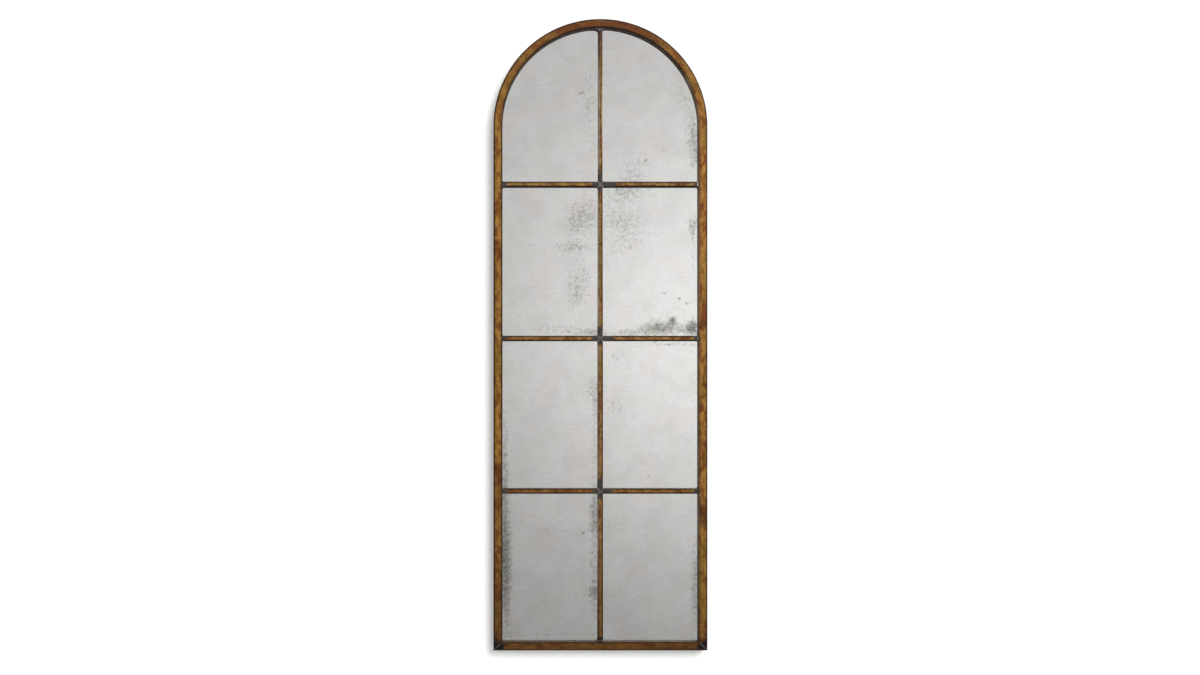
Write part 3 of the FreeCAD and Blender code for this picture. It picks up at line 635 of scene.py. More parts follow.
    def seat(self, piece: Piece, node: str, degrees: Optional[float] = None) -> None:
        """Let a piece stand for a CAD node, on that node's body.

        Args:
            piece: The finished piece.
            node: The CAD node.
            degrees: Soften all but edges sharper than this, or None to leave the shading as it is.
        """
        if degrees:
            self.soften(piece, degrees)
        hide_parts(node)
        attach(piece, BODY_OF[node])
        LOG.info("%s stands for %s: %d faces", piece.name, node, len(piece.data.polygons))

    def curve(self, name: str, points: Outline, closed: bool) -> Piece:
        """Draw a poly curve in plan.

        Args:
            name: The curve's name.
            points: The curve's points.
            closed: True for a loop.

        Returns:
            The curve object.
        """
        data = bpy.data.curves.new(name, "CURVE")
        data.dimensions = "3D"
        data.twist_mode = "Z_UP"
        spline = data.splines.new("POLY")
        spline.points.add(len(points) - 1)
        for point, (across, up) in zip(spline.points, points):
            point.co = (across, up, 0.0, 1.0)
        spline.use_cyclic_u = closed
        return self.put(name, data)

    def mesh(self, name: str, build: Callable[[bmesh.types.BMesh], None]) -> Piece:
        """Make a mesh piece.

        Args:
            name: The piece's name.
            build: Fills the empty bmesh.

        Returns:
            The piece, its faces pointing outwards.
        """
        shape = bmesh.new()
        build(shape)
        bmesh.ops.remove_doubles(shape, verts=shape.verts, dist=OWN_GAP)
        bmesh.ops.recalc_face_normals(shape, faces=shape.faces)
        data = bpy.data.meshes.new(name)
        shape.to_mesh(data)
        shape.free()
        return self.put(name, data)

    def prism(self, name: str, corners: list[Place], rise: Place) -> Piece:
        """Raise a flat outline into a block.

        Args:
            name: The piece's name.
            corners: The outline's corners.
            rise: From the outline to the block's far side.

        Returns:
            The block.
        """
        def build(shape: bmesh.types.BMesh) -> None:
            """Extrude the outline's face."""
            face = shape.faces.new([shape.verts.new(corner) for corner in corners])
            raised = bmesh.ops.extrude_face_region(shape, geom=[face])
            moved = [item for item in raised["geom"] if isinstance(item, bmesh.types.BMVert)]
            bmesh.ops.translate(shape, verts=moved, vec=rise)
        return self.mesh(name, build)

    def lathe(self, name: str, profile: Outline, segments: int = 28) -> Piece:
        """Turn a profile about the Y axis.

        Args:
            name: The piece's name.
            profile: (radius, y) from end to end; both ends lie on the axis.
            segments: Faces round the axis.

        Returns:
            The turned piece.
        """
        def build(shape: bmesh.types.BMesh) -> None:
            """Join the rings of the profile."""
            rings = []
            for radius, depth in profile:
                turns = [math.tau * index / segments for index in range(segments)] if radius > 0 else [0.0]
                rings.append([shape.verts.new((radius * math.cos(t), depth, radius * math.sin(t))) for t in turns])
            for first, second in zip(rings, rings[1:]):
                for index in range(segments):
                    after = (index + 1) % segments
                    corners = [first[index % len(first)], first[after % len(first)],
                               second[after % len(second)], second[index % len(second)]]
                    shape.faces.new(list(dict.fromkeys(corners)))
        piece = self.mesh(name, build)
        self.soften(piece, 40.0)
        return piece

    def joined(self, name: str, pieces: list[Piece]) -> Piece:
        """Gather pieces into one and remove them.

        Args:
            name: The new piece's name.
            pieces: The pieces.

        Returns:
            The new piece.
        """
        def build(shape: bmesh.types.BMesh) -> None:
            """Gather the pieces' meshes."""
            for piece in pieces:
                shape.from_mesh(piece.data)
        whole = self.mesh(name, build)
        self.drop(*pieces)
        return whole

    def eased_copy(self, node: str, radius_mm: float) -> Piece:
        """Copy a CAD node with its long edges rounded.

        Args:
            node: The CAD node.
            radius_mm: Radius of the easing.

        Returns:
            The copy.
        """
        def build(shape: bmesh.types.BMesh) -> None:
            """Merge the loose triangles and join the flat ones."""
            shape.from_mesh(frame["nodes"][node].data)
            bmesh.ops.remove_doubles(shape, verts=shape.verts, dist=CAD_GAP)
            bmesh.ops.dissolve_limit(shape, angle_limit=math.radians(1.0), verts=shape.verts, edges=shape.edges)
        piece = self.mesh(f"{node}_eased", build)
        self.change(piece, "BEVEL", width=radius_mm * MM, segments=2, angle_limit=math.radians(35.0),
                    use_clamp_overlap=True)
        piece = self.bake(piece)
        self.soften(piece)
        return piece

    def sweep(self, name: str, path: Outline, section: Outline, half_width: float, worked: Worked,
              finish: Finish, closed: bool = False) -> Piece:
        """Run a section along a path with the tube tree and bake it.

        Args:
            name: Name of the piece.
            path: The path as (x, z).
            section: The section as (across, y), across being outwards to the right of the path.
            half_width: Half the section's width, from which the rim attribute counts inwards.
            worked: How its surface was worked.
            finish: The finish.
            closed: True for a ring.

        Returns:
            The baked piece.
        """
        line, loop = self.curve(name, path, closed), self.curve("section", section, True)
        self.run_tree(line, self.tube_tree, {
            "Section": loop, "Half Width": half_width, "Lot": worked.lot, "Start": worked.start,
            "Dent Depth": worked.dent, "Dent Size": worked.dent_size, "Material": self.finish(finish)})
        piece = self.bake(line)
        self.drop(loop)
        return piece

    def fixings(self, name: str, node: str, seed: Piece, finish: Finish, marks: str,
                turn: Callable[[Vector], float] = lambda spot: 0.0) -> None:
        """Copy a seed to the middles of a CAD node's solids with the fixing tree.

        Args:
            name: Name of the piece.
            node: The CAD node that the copies stand for.
            seed: One fixing about the origin, facing +Y; it is removed.
            finish: The finish.
            marks: The CAD node whose solids mark the spots.
            turn: Gives the turn about the Y axis at a spot.
        """
        spots = self.centres(marks)
        data = bpy.data.meshes.new(name)
        data.from_pydata([(spot.x, 0.0, spot.z) for spot in spots], [], [])
        turns = data.attributes.new("turn", "FLOAT_VECTOR", "POINT")
        for item, spot in zip(turns.data, spots):
            item.vector = (0.0, turn(spot), 0.0)
        points = self.put(name, data)
        self.run_tree(points, self.fixing_tree, {"Seed": seed, "Material": self.finish(finish)})
        piece = self.bake(points)
        self.drop(seed)
        self.seat(piece, node)

    def centres(self, node: str) -> list[Vector]:
        """Find the middle of each separate solid of a CAD node.

        Args:
            node: The CAD node.

        Returns:
            The solids' middles, in a fixed order.
        """
        shape = bmesh.new()
        shape.from_mesh(frame["nodes"][node].data)
        bmesh.ops.remove_doubles(shape, verts=shape.verts, dist=CAD_GAP)
        middles, waiting = [], set(shape.verts)
        while waiting:
            edge_of, island = [waiting.pop()], []
            while edge_of:
                vertex = edge_of.pop()
                island.append(vertex.co.copy())
                near = {edge.other_vert(vertex) for edge in vertex.link_edges} & waiting
                waiting -= near
                edge_of += near
            middles.append((Vector(map(min, *island)) + Vector(map(max, *island))) / 2)
        shape.free()
        return sorted(middles, key=lambda place: (round(place.x, 4), round(place.z, 4)))


@dataclass(frozen=True)
class Patch:
    """A soft-edged patch in the row frame, of foxing or of patina: its middle, half sizes and strength."""

    x_mm: float
    z_mm: float
    wide_mm: float
    tall_mm: float
    strength: float

    def at(self, place: Vector) -> float:
        """Give the patch's strength at a place, fading smoothly outwards."""
        far = ((place.x / MM - self.x_mm) / self.wide_mm) ** 2 + ((place.z / MM - self.z_mm) / self.tall_mm) ** 2
        return self.strength * math.exp(-far)


@dataclass(frozen=True)
class HeatMark:
    """A place where welding heat changed the patina of the iron about it."""

    x: float
    z: float
    reach: float
    strength: float = 1.0
    char: float = 0.0

    def at(self, place: Vector) -> float:
        """Give the mark's strength at a place, falling to 0 at its reach."""
        distance = math.hypot(place.x - self.x, place.z - self.z)
        return self.strength * max(0.0, 1.0 - distance / self.reach)


@dataclass
class Ironwork:
    """Sizes that the frame tubes, bars and welds share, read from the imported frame."""

    face: tuple[Vector, Vector] = field(default_factory=lambda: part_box("left_leg"))
    bar: tuple[Vector, Vector] = field(default_factory=lambda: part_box("left_crossbar_low"))
    # half the upright's width where it runs into the arch
    tip_half: float = 7 * MM
    pitch: float = 3 * MM
    crisp_degrees: float = 32.0
    finish: BurnishedIron = BurnishedIron("burnished_iron")
    weld: GroundWeld = GroundWeld("ground_weld")
    # above 0 the patina is redder, below 0 more golden
    patina: tuple[Patch, ...] = tuple(Patch(*row) for row in (
        (-60, 400, 110, 50, 1.3), (110, 385, 90, 50, 1.1), (265, 230, 70, 90, -0.6), (-270, 230, 80, 90, -0.6),
        (-338, -60, 30, 120, -0.5), (-338, -345, 30, 60, 0.9), (-338, -560, 30, 90, -0.4),
        (-338, -820, 30, 120, -0.7), (-338, -1060, 30, 100, 0.4), (338, -60, 30, 90, 0.3), (338, -255, 30, 60, 0.6),
        (338, -575, 30, 40, 1.1), (338, -480, 30, 90, -0.5), (338, -800, 30, 110, -0.15),
        (338, -1000, 30, 70, -0.2), (338, -1214, 30, 36, 0.9), (338, -1430, 30, 150, -1.0),
        (165, -122, 120, 8, 0.3), (165, -631, 120, 8, 0.5), (-165, -1135, 120, 8, 0.3), (165, -1135, 120, 8, 0.3),
        (0, -330, 12, 160, -0.5), (0, -720, 12, 120, -0.5), (0, 200, 12, 130, -0.3)))
    # painted sheen: pale patches where edges catch the light, inside the right leg, right in the arch, and on the
    # upright's sides
    rubbed: tuple[Patch, ...] = tuple(Patch(*row) for row in (
        (322, -350, 8, 520, 0.95), (322, -1250, 8, 380, 0.6), (310, 100, 16, 60, 0.9), (286, 205, 24, 40, 0.8),
        (-9, -400, 7, 460, 1.0), (-9, -1250, 7, 330, 0.6), (-8, 130, 7, 170, 1.1), (8, 110, 5, 170, 0.8)))

    def __post_init__(self) -> None:
        """Work out the levels and half widths."""
        self.outer = -self.face[0].x
        self.inner = -self.face[1].x
        self.base = self.face[0].z
        self.springline = self.face[1].z
        self.front = self.face[0].y
        self.levels = {kind: sum(corner.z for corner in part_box(f"left_crossbar_{kind.value}")) / 2
                       for kind in Crossing}
        self.bar_half = (self.bar[1].z - self.bar[0].z) / 2
        lengths = zip(Crossing, ("upright_lower", "upright_upper", "upright_top"))
        self.upright_half = {kind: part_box(node)[1].x for kind, node in lengths}
        self.foot_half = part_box("upright_foot")[1].x
        self.heat = self._heat_marks()

    def _heat_marks(self) -> list[HeatMark]:
        """List the heat marks: at each crossing, bar end, bottom corner, foot and apex.

        Returns:
            The marks.
        """
        crown = self.springline + self.inner
        marks = [HeatMark(0.0, self.base + 36 * MM, 24 * MM, 1.0, 0.9),
                 HeatMark(0.0, crown - 10 * MM, 22 * MM, 1.0, 0.3),
                 HeatMark(4 * MM, crown + 15 * MM, 10 * MM, 0.8, 0.6)]
        for kind, level in self.levels.items():
            above = 40 * MM if kind is Crossing.MIDDLE else 52 * MM
            marks += [HeatMark(0.0, level, 40 * MM, 1.35), HeatMark(22 * MM, level, 46 * MM, 0.9),
                      HeatMark(0.0, level + 20 * MM, above, 0.9)]
            marks += [HeatMark(side.value * (self.inner - 5 * MM), level, 18 * MM) for side in Side]
        return marks + [HeatMark(side.value * (self.outer - 6 * MM), self.base + 8 * MM, 52 * MM, 1.15, 1.0)
                        for side in Side]

    def line(self, start: Point, finish: Point) -> Outline:
        """Divide a straight path at the pitch.

        Args:
            start: First point.
            finish: Last point.

        Returns:
            The points of the path.
        """
        steps = max(1, round(math.dist(start, finish) / self.pitch))
        return [tuple(a + (b - a) * index / steps for a, b in zip(start, finish)) for index in range(steps + 1)]

    def section(self, half: float, front: float, rear: float, front_round: float, rear_round: float) -> Outline:
        """Draw a rounded bar section with its flats divided.

        Args:
            half: Half the width.
            front: Lower y.
            rear: Higher y.
            front_round: Radius of the two front corners.
            rear_round: Radius of the two rear corners.

        Returns:
            The section, counter-clockwise.
        """
        rounded: Outline = []
        for index, (across, depth, radius) in enumerate((
                (half, rear, rear_round), (-half, rear, rear_round), (-half, front, front_round),
                (half, front, front_round))):
            middle = (across - math.copysign(radius, across), depth - radius if depth == rear else depth + radius)
            rounded += arc(middle, (radius, radius), QUARTER * index, QUARTER * (index + 1), 4)
        return [point for start, finish in zip(rounded, rounded[1:] + rounded[:1])
                for point in self.line(start, finish)[:-1]]

    def dress(self, piece: Piece, node: str, shape: Callable[[Vector], Vector]) -> None:
        """Give a swept piece its last shape, heat marks, patina, painted sheen and seat.

        Args:
            piece: The swept piece.
            node: The CAD node that it stands for.
            shape: Moves a vertex to its last place, such as a mitre.
        """
        for vertex in piece.data.vertices:
            vertex.co = shape(vertex.co)
        marks = {"scorch": lambda place: max(mark.at(place) for mark in self.heat),
                 "char": lambda place: max(mark.at(place) * mark.char for mark in self.heat),
                 "ruddy": lambda place: sum(patch.at(place) for patch in self.patina),
                 "rubbed": lambda place: sum(patch.at(place) for patch in self.rubbed)}
        for name, value in marks.items():
            WORKSHOP.mark(piece, name, value)
        WORKSHOP.seat(piece, node, self.crisp_degrees)


@dataclass
class FrameTubes:
    """The front tube of arch, legs and rail, and the square spacer tube behind its outer half."""

    iron: Ironwork
    front_round: float = 4 * MM
    rear_round: float = 2.5 * MM
    dent: float = 0.22 * MM
    dent_size: float = 24 * MM
    lot: float = 1.37
    # the rail's run of patina starts this far beyond the end of the left leg's
    rail_gap: float = 1.0

    def build(self) -> None:
        """Build both rings of tube."""
        self._ring(("right_leg", "arch", "left_leg", "bottom_rail"), self.iron.inner, self.front_round, self.dent,
                   self.iron.finish)
        self._ring(("right_spacer", "arch_spacer", "left_spacer", "bottom_spacer"), -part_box("left_spacer")[1].x,
                   self.rear_round, self.dent / 3, LACQUERED_STEEL)

    def _ring(self, nodes: tuple[str, ...], inner: float, front_round: float, dent: float, finish: Finish) -> None:
        """Build the four lengths of one ring; the patina runs on without a break from leg to arch to leg.

        Args:
            nodes: The nodes of right leg, arch, left leg and rail.
            inner: Half the opening.
            front_round: Radius of the front corners.
            dent: Deepest dent.
            finish: The finish.
        """
        iron = self.iron
        half, middle = (iron.outer - inner) / 2, (iron.outer + inner) / 2
        front, rear = (corner.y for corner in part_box(nodes[0]))
        section = iron.section(half, front, rear, front_round, self.rear_round)
        low, spring = iron.base + half, iron.springline
        straight, bend = spring - iron.base, math.pi * middle
        over = arc((0.0, spring), (middle, middle), 0.0, math.pi, round(bend / iron.pitch))
        runs = (
            (iron.line((middle, iron.base), (middle, spring)), self._leg_mitre, 0.0),
            (over, self._on_springline, straight),
            (iron.line((-middle, spring), (-middle, iron.base)), self._leg_mitre, straight + bend),
            (iron.line((-iron.outer, low), (iron.outer, low)), self._rail_mitre, 2 * straight + bend + self.rail_gap))
        for node, (path, shape, start) in zip(nodes, runs):
            worked = Worked(self.lot, start, dent, self.dent_size)
            iron.dress(WORKSHOP.sweep(f"{node}_tube", path, section, half, worked, finish), node, shape)

    def _on_springline(self, place: Vector) -> Vector:
        """Keep the arch's two feet flat on the springline."""
        spring = self.iron.springline
        return Vector((place.x, place.y, spring)) if place.z < spring else place

    def _leg_mitre(self, place: Vector) -> Vector:
        """Lift a leg's foot to its mitre."""
        return Vector((place.x, place.y, max(place.z, self.iron.base + self.iron.outer - abs(place.x))))

    def _rail_mitre(self, place: Vector) -> Vector:
        """Draw a rail's end in to its mitre."""
        reach = self.iron.outer - (place.z - self.iron.base)
        return Vector((max(-reach, min(reach, place.x)), place.y, place.z))


@dataclass
class WindowBars:
    """Six crossbars and the four lengths of the tapering upright, of flat iron with eased front edges.

    They are thinner than the tubes, took less brushing and kept a duller gold.
    """

    iron: Ironwork
    # bare is the paler painted sheen on the bars' edges
    finish: BurnishedIron = BurnishedIron("burnished_bar_iron", gold="a27c45", umber="65441f", bare="b9ab98")
    front_round: float = 3.5 * MM
    rear_round: float = 0.6 * MM
    dent: float = 0.2 * MM
    dent_size: float = 30 * MM
    side_lot: float = 0.31
    length_lot: float = 1.17

    def build(self) -> None:
        """Build every bar."""
        for lot, kind in enumerate(Crossing, start=5):
            for side in Side:
                self._crossbar(kind, side, lot + side.value * self.side_lot)
        lengths = (("upright_foot", None, Crossing.LOW), ("upright_lower", Crossing.LOW, Crossing.MIDDLE),
                   ("upright_upper", Crossing.MIDDLE, Crossing.HIGH), ("upright_top", Crossing.HIGH, None))
        for lot, (node, below, above) in enumerate(lengths, start=9):
            self._upright(node, below, above, lot * self.length_lot)

    def _sweep(self, node: str, path: Outline, half: float, lot: float) -> Piece:
        """Run the bar's section along a path."""
        low, high = self.iron.bar
        section = self.iron.section(half, low.y, high.y, self.front_round, self.rear_round)
        worked = Worked(lot, 0.0, self.dent, self.dent_size)
        return WORKSHOP.sweep(f"{node}_bar", path, section, half, worked, self.finish)

    def _crossbar(self, kind: Crossing, side: Side, lot: float) -> None:
        """Build one crossbar, pointed where it meets the upright.

        Args:
            kind: Which crossing.
            side: Which side.
            lot: The bar's own number.
        """
        iron, node = self.iron, f"{side.word}_crossbar_{kind.value}"
        level = iron.levels[kind]
        slope = iron.upright_half[kind] / iron.bar_half
        first, last = sorted((0.0, side.value * iron.inner))
        piece = self._sweep(node, iron.line((first, level), (last, level)), iron.bar_half, lot)

        def point(place: Vector) -> Vector:
            """Cut the end back to the two sides of the point."""
            reach = abs(place.z - level) * slope
            return Vector((side.value * max(reach, place.x * side.value), place.y, place.z))
        iron.dress(piece, node, point)

    def _upright(self, node: str, below: Optional[Crossing], above: Optional[Crossing], lot: float) -> None:
        """Build one length of the upright.

        Args:
            node: Its CAD node.
            below: Crossing at its lower end, or None for the rail.
            above: Crossing at its upper end, or None for the arch.
            lot: The bar's own number.
        """
        iron = self.iron
        low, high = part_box(node)
        half_low = iron.upright_half[below] if below else iron.foot_half
        half_high = iron.upright_half[above] if above else iron.tip_half
        start = iron.levels[below] if below else low.z
        finish = iron.levels[above] if above else high.z
        piece = self._sweep(node, iron.line((0.0, start), (0.0, finish)), half_low, lot)

        def taper(place: Vector) -> Vector:
            """Narrow the bar upwards and cut its ends to the crossings' points."""
            share = (place.z - start) / (finish - start)
            x, z = place.x * (1 + (half_high / half_low - 1) * share), place.z
            if below:
                z = max(z, start + abs(x) * iron.bar_half / half_low)
            if above:
                z = min(z, finish - abs(x) * iron.bar_half / half_high)
            return Vector((x, place.y, z))
        iron.dress(piece, node, taper)


@dataclass
class Welds:
    """The ground welds at crossings, bar ends, foot, apex and mitres."""

    iron: Ironwork
    proud: float = 0.4 * MM
    depth: float = 1.2 * MM
    fillet: float = 5 * MM
    buried: float = 2 * MM
    apex_left: float = 26 * MM
    apex_right: float = 13 * MM
    apex_drop: float = 10 * MM
    voxel: float = 0.7 * MM
    dent: float = 0.7 * MM
    dent_size: float = 4 * MM
    groove: float = 0.25 * MM
    ridge: float = 1.8 * MM
    bright_reach: float = 9 * MM
    bead_half: float = 1.6 * MM
    bead_rise: float = 0.39 * MM
    bead_root: float = 0.1 * MM
    bead_dent: float = 0.05 * MM
    bead_dent_size: float = 2 * MM
    bead_worn: float = 0.45
    margin: float = 1 * MM
    crisp_degrees: float = 60.0

    def build(self) -> None:
        """Build every weld."""
        self.front = self.iron.bar[0].y - self.proud
        self.rear = self.iron.bar[1].y - self.margin
        self._finish("crossing_welds", [self._crossing(kind) for kind in Crossing], self._ridge)
        # the bar-end welds carry a painted highlight at the right ends of the two upper crossbars
        self._finish("bar_end_welds", [self._bar_end(kind, side) for kind in Crossing for side in Side],
                     self._bright_end)
        self._finish("foot_weld", [self._foot()])
        self._finish("apex_weld", [self._apex()])
        self._mitres()

    def hollow(self, corner: Point, start: Point, finish: Point) -> Outline:
        """Draw a hollow fillet.

        Args:
            corner: The sharp corner that the weld fills.
            start: Where the fillet leaves the first side.
            finish: Where it meets the second side.

        Returns:
            Points along the fillet, with both ends.
        """
        points = []
        for share in (step / 6 for step in range(7)):
            weighted = tuple(zip(((1 - share) ** 2, 2 * share * (1 - share), share ** 2), (start, corner, finish)))
            points.append(tuple(sum(weight * point[axis] for weight, point in weighted) for axis in (0, 1)))
        return points

    def _crossing(self, kind: Crossing) -> Outline:
        """Draw the cross-shaped patch over a crossing, a little larger at its lower left."""
        level, half, rise = self.iron.levels[kind], self.iron.upright_half[kind], self.iron.bar_half
        outline: Outline = []
        for sx, sz in ((1, 1), (1, -1), (-1, -1), (-1, 1)):
            size = self.fillet * (1.25 if (sx, sz) == (-1, -1) else 1.0)
            corner = (half * sx, level + rise * sz)
            tall, wide = (corner[0], corner[1] + size * sz), (corner[0] + size * sx, corner[1])
            outline += self.hollow(corner, tall, wide) if sx * sz > 0 else self.hollow(corner, wide, tall)
        return outline

    def _bar_end(self, kind: Crossing, side: Side) -> Outline:
        """Draw the weld where a crossbar meets a leg."""
        wall = self.iron.inner * side.value
        inside, buried = wall - self.fillet * side.value, wall + self.buried * side.value
        low, high = (self.iron.levels[kind] + sign * self.iron.bar_half for sign in (-1, 1))
        under, over = low - self.fillet, high + self.fillet
        return [*self.hollow((wall, low), (inside, low), (wall, under)), (buried, under), (buried, over),
                *self.hollow((wall, high), (wall, over), (inside, high))]

    def _foot(self) -> Outline:
        """Draw the weld between the upright and the rail."""
        level, half, size = self.iron.base + self.iron.outer - self.iron.inner, self.iron.foot_half, self.fillet
        low, wide = level - self.buried, half + size
        return [*self.hollow((half, level), (half, level + size), (wide, level)), (wide, low), (-wide, low),
                *self.hollow((-half, level), (-wide, level), (-half, level + size))]

    def _apex(self) -> Outline:
        """Draw the flared weld under the crown of the arch, wider on its left.

        Returns:
            The outline.
        """
        inner, spring, half = self.iron.inner, self.iron.springline, self.iron.tip_half
        top, low = spring + inner - self.margin, spring + inner - self.apex_drop
        left, right = -half - self.apex_left, half + self.apex_right

        def under(x: float) -> float:
            """Give the height of the arch's inner edge."""
            return spring + math.sqrt(inner ** 2 - x ** 2)
        roof = [right * (1 - step / 4) + left * step / 4 for step in range(5)]
        return [*self.hollow((half, top), (half, low), (right, under(right))),
                *((x, under(x) + self.buried) for x in roof),
                *self.hollow((-half, top), (left, under(left)), (-half, low))]

    def _ridge(self, place: Vector) -> float:
        """Give how near a place is to the diagonal joints of a crossing, from 0 to 1."""
        level = min(self.iron.levels.values(), key=lambda height: abs(height - place.z))
        x, z = place.x, place.z - level
        return max(0.0, 1 - min(abs(x - z), abs(x + z)) / math.sqrt(2) / self.ridge)

    def _bright_end(self, place: Vector) -> float:
        """Give the painted highlight on the welds at the right ends of the two upper crossbars."""
        x, levels = place.x - self.iron.inner, self.iron.levels
        return max(0.0, *(share * (1 - math.hypot(x, place.z - levels[kind]) / self.bright_reach)
                          for kind, share in ((Crossing.HIGH, 1.6), (Crossing.MIDDLE, 1.0))))

    def _finish(self, node: str, outlines: list[Outline], worn: Optional[Callable[[Vector], float]] = None) -> None:
        """Turn outlines into lumpy weld metal for one node.

        Args:
            node: The CAD node.
            outlines: One outline for each weld.
            worn: Gives how pale the face is at a place, ground bright on the ridges and crests and a
                painted highlight at the bar ends, or None for nowhere; the rest of the face is ground a little lower.
        """
        piece = WORKSHOP.joined(f"{node}_metal", [
            WORKSHOP.prism("block", [(x, self.front, z) for x, z in outline], (0.0, self.rear - self.front, 0.0))
            for outline in outlines])
        WORKSHOP.change(piece, "REMESH", mode="VOXEL", voxel_size=self.voxel)
        WORKSHOP.change(piece, "SMOOTH", factor=0.5, iterations=3)
        WORKSHOP.run_tree(piece, WORKSHOP.weld_tree, {
            "Dent Depth": self.dent, "Dent Size": self.dent_size, "Material": WORKSHOP.finish(self.iron.weld)})
        piece = WORKSHOP.bake(piece)
        if worn:
            WORKSHOP.mark(piece, "worn", worn)
            for vertex in piece.data.vertices:
                if vertex.co.y < self.front + self.depth:
                    vertex.co.y += self.groove * max(0.0, 1 - worn(vertex.co))
        WORKSHOP.seat(piece, node, self.crisp_degrees)

    def _mitres(self) -> None:
        """Build the low bead along the mitre of each bottom corner, on the face."""
        iron, high, wide = self.iron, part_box("mitre_welds")[1], self.bead_half
        inset = iron.outer - high.x
        section = [(wide, iron.front + self.bead_root), (-wide, iron.front + self.bead_root),
                   *arc((0.0, iron.front), (-wide, -self.bead_rise), 0.0, math.pi, 8)]
        beads = []
        for side in Side:
            path = iron.line((side.value * (iron.outer - inset - self.margin), iron.base + inset + self.margin),
                             (side.value * (iron.inner + inset + self.margin), high.z - self.margin))
            worked = Worked(dent=self.bead_dent, dent_size=self.bead_dent_size)
            beads.append(WORKSHOP.sweep("bead", path, section, wide, worked, iron.weld))
        piece = WORKSHOP.joined("mitre_welds_bead", beads)
        WORKSHOP.coat(piece, iron.weld)
        crest = iron.front - self.bead_rise / 2
        WORKSHOP.mark(piece, "worn", lambda place: self.bead_worn if place.y < crest else 0.0)
        WORKSHOP.seat(piece, "mitre_welds", self.crisp_degrees)


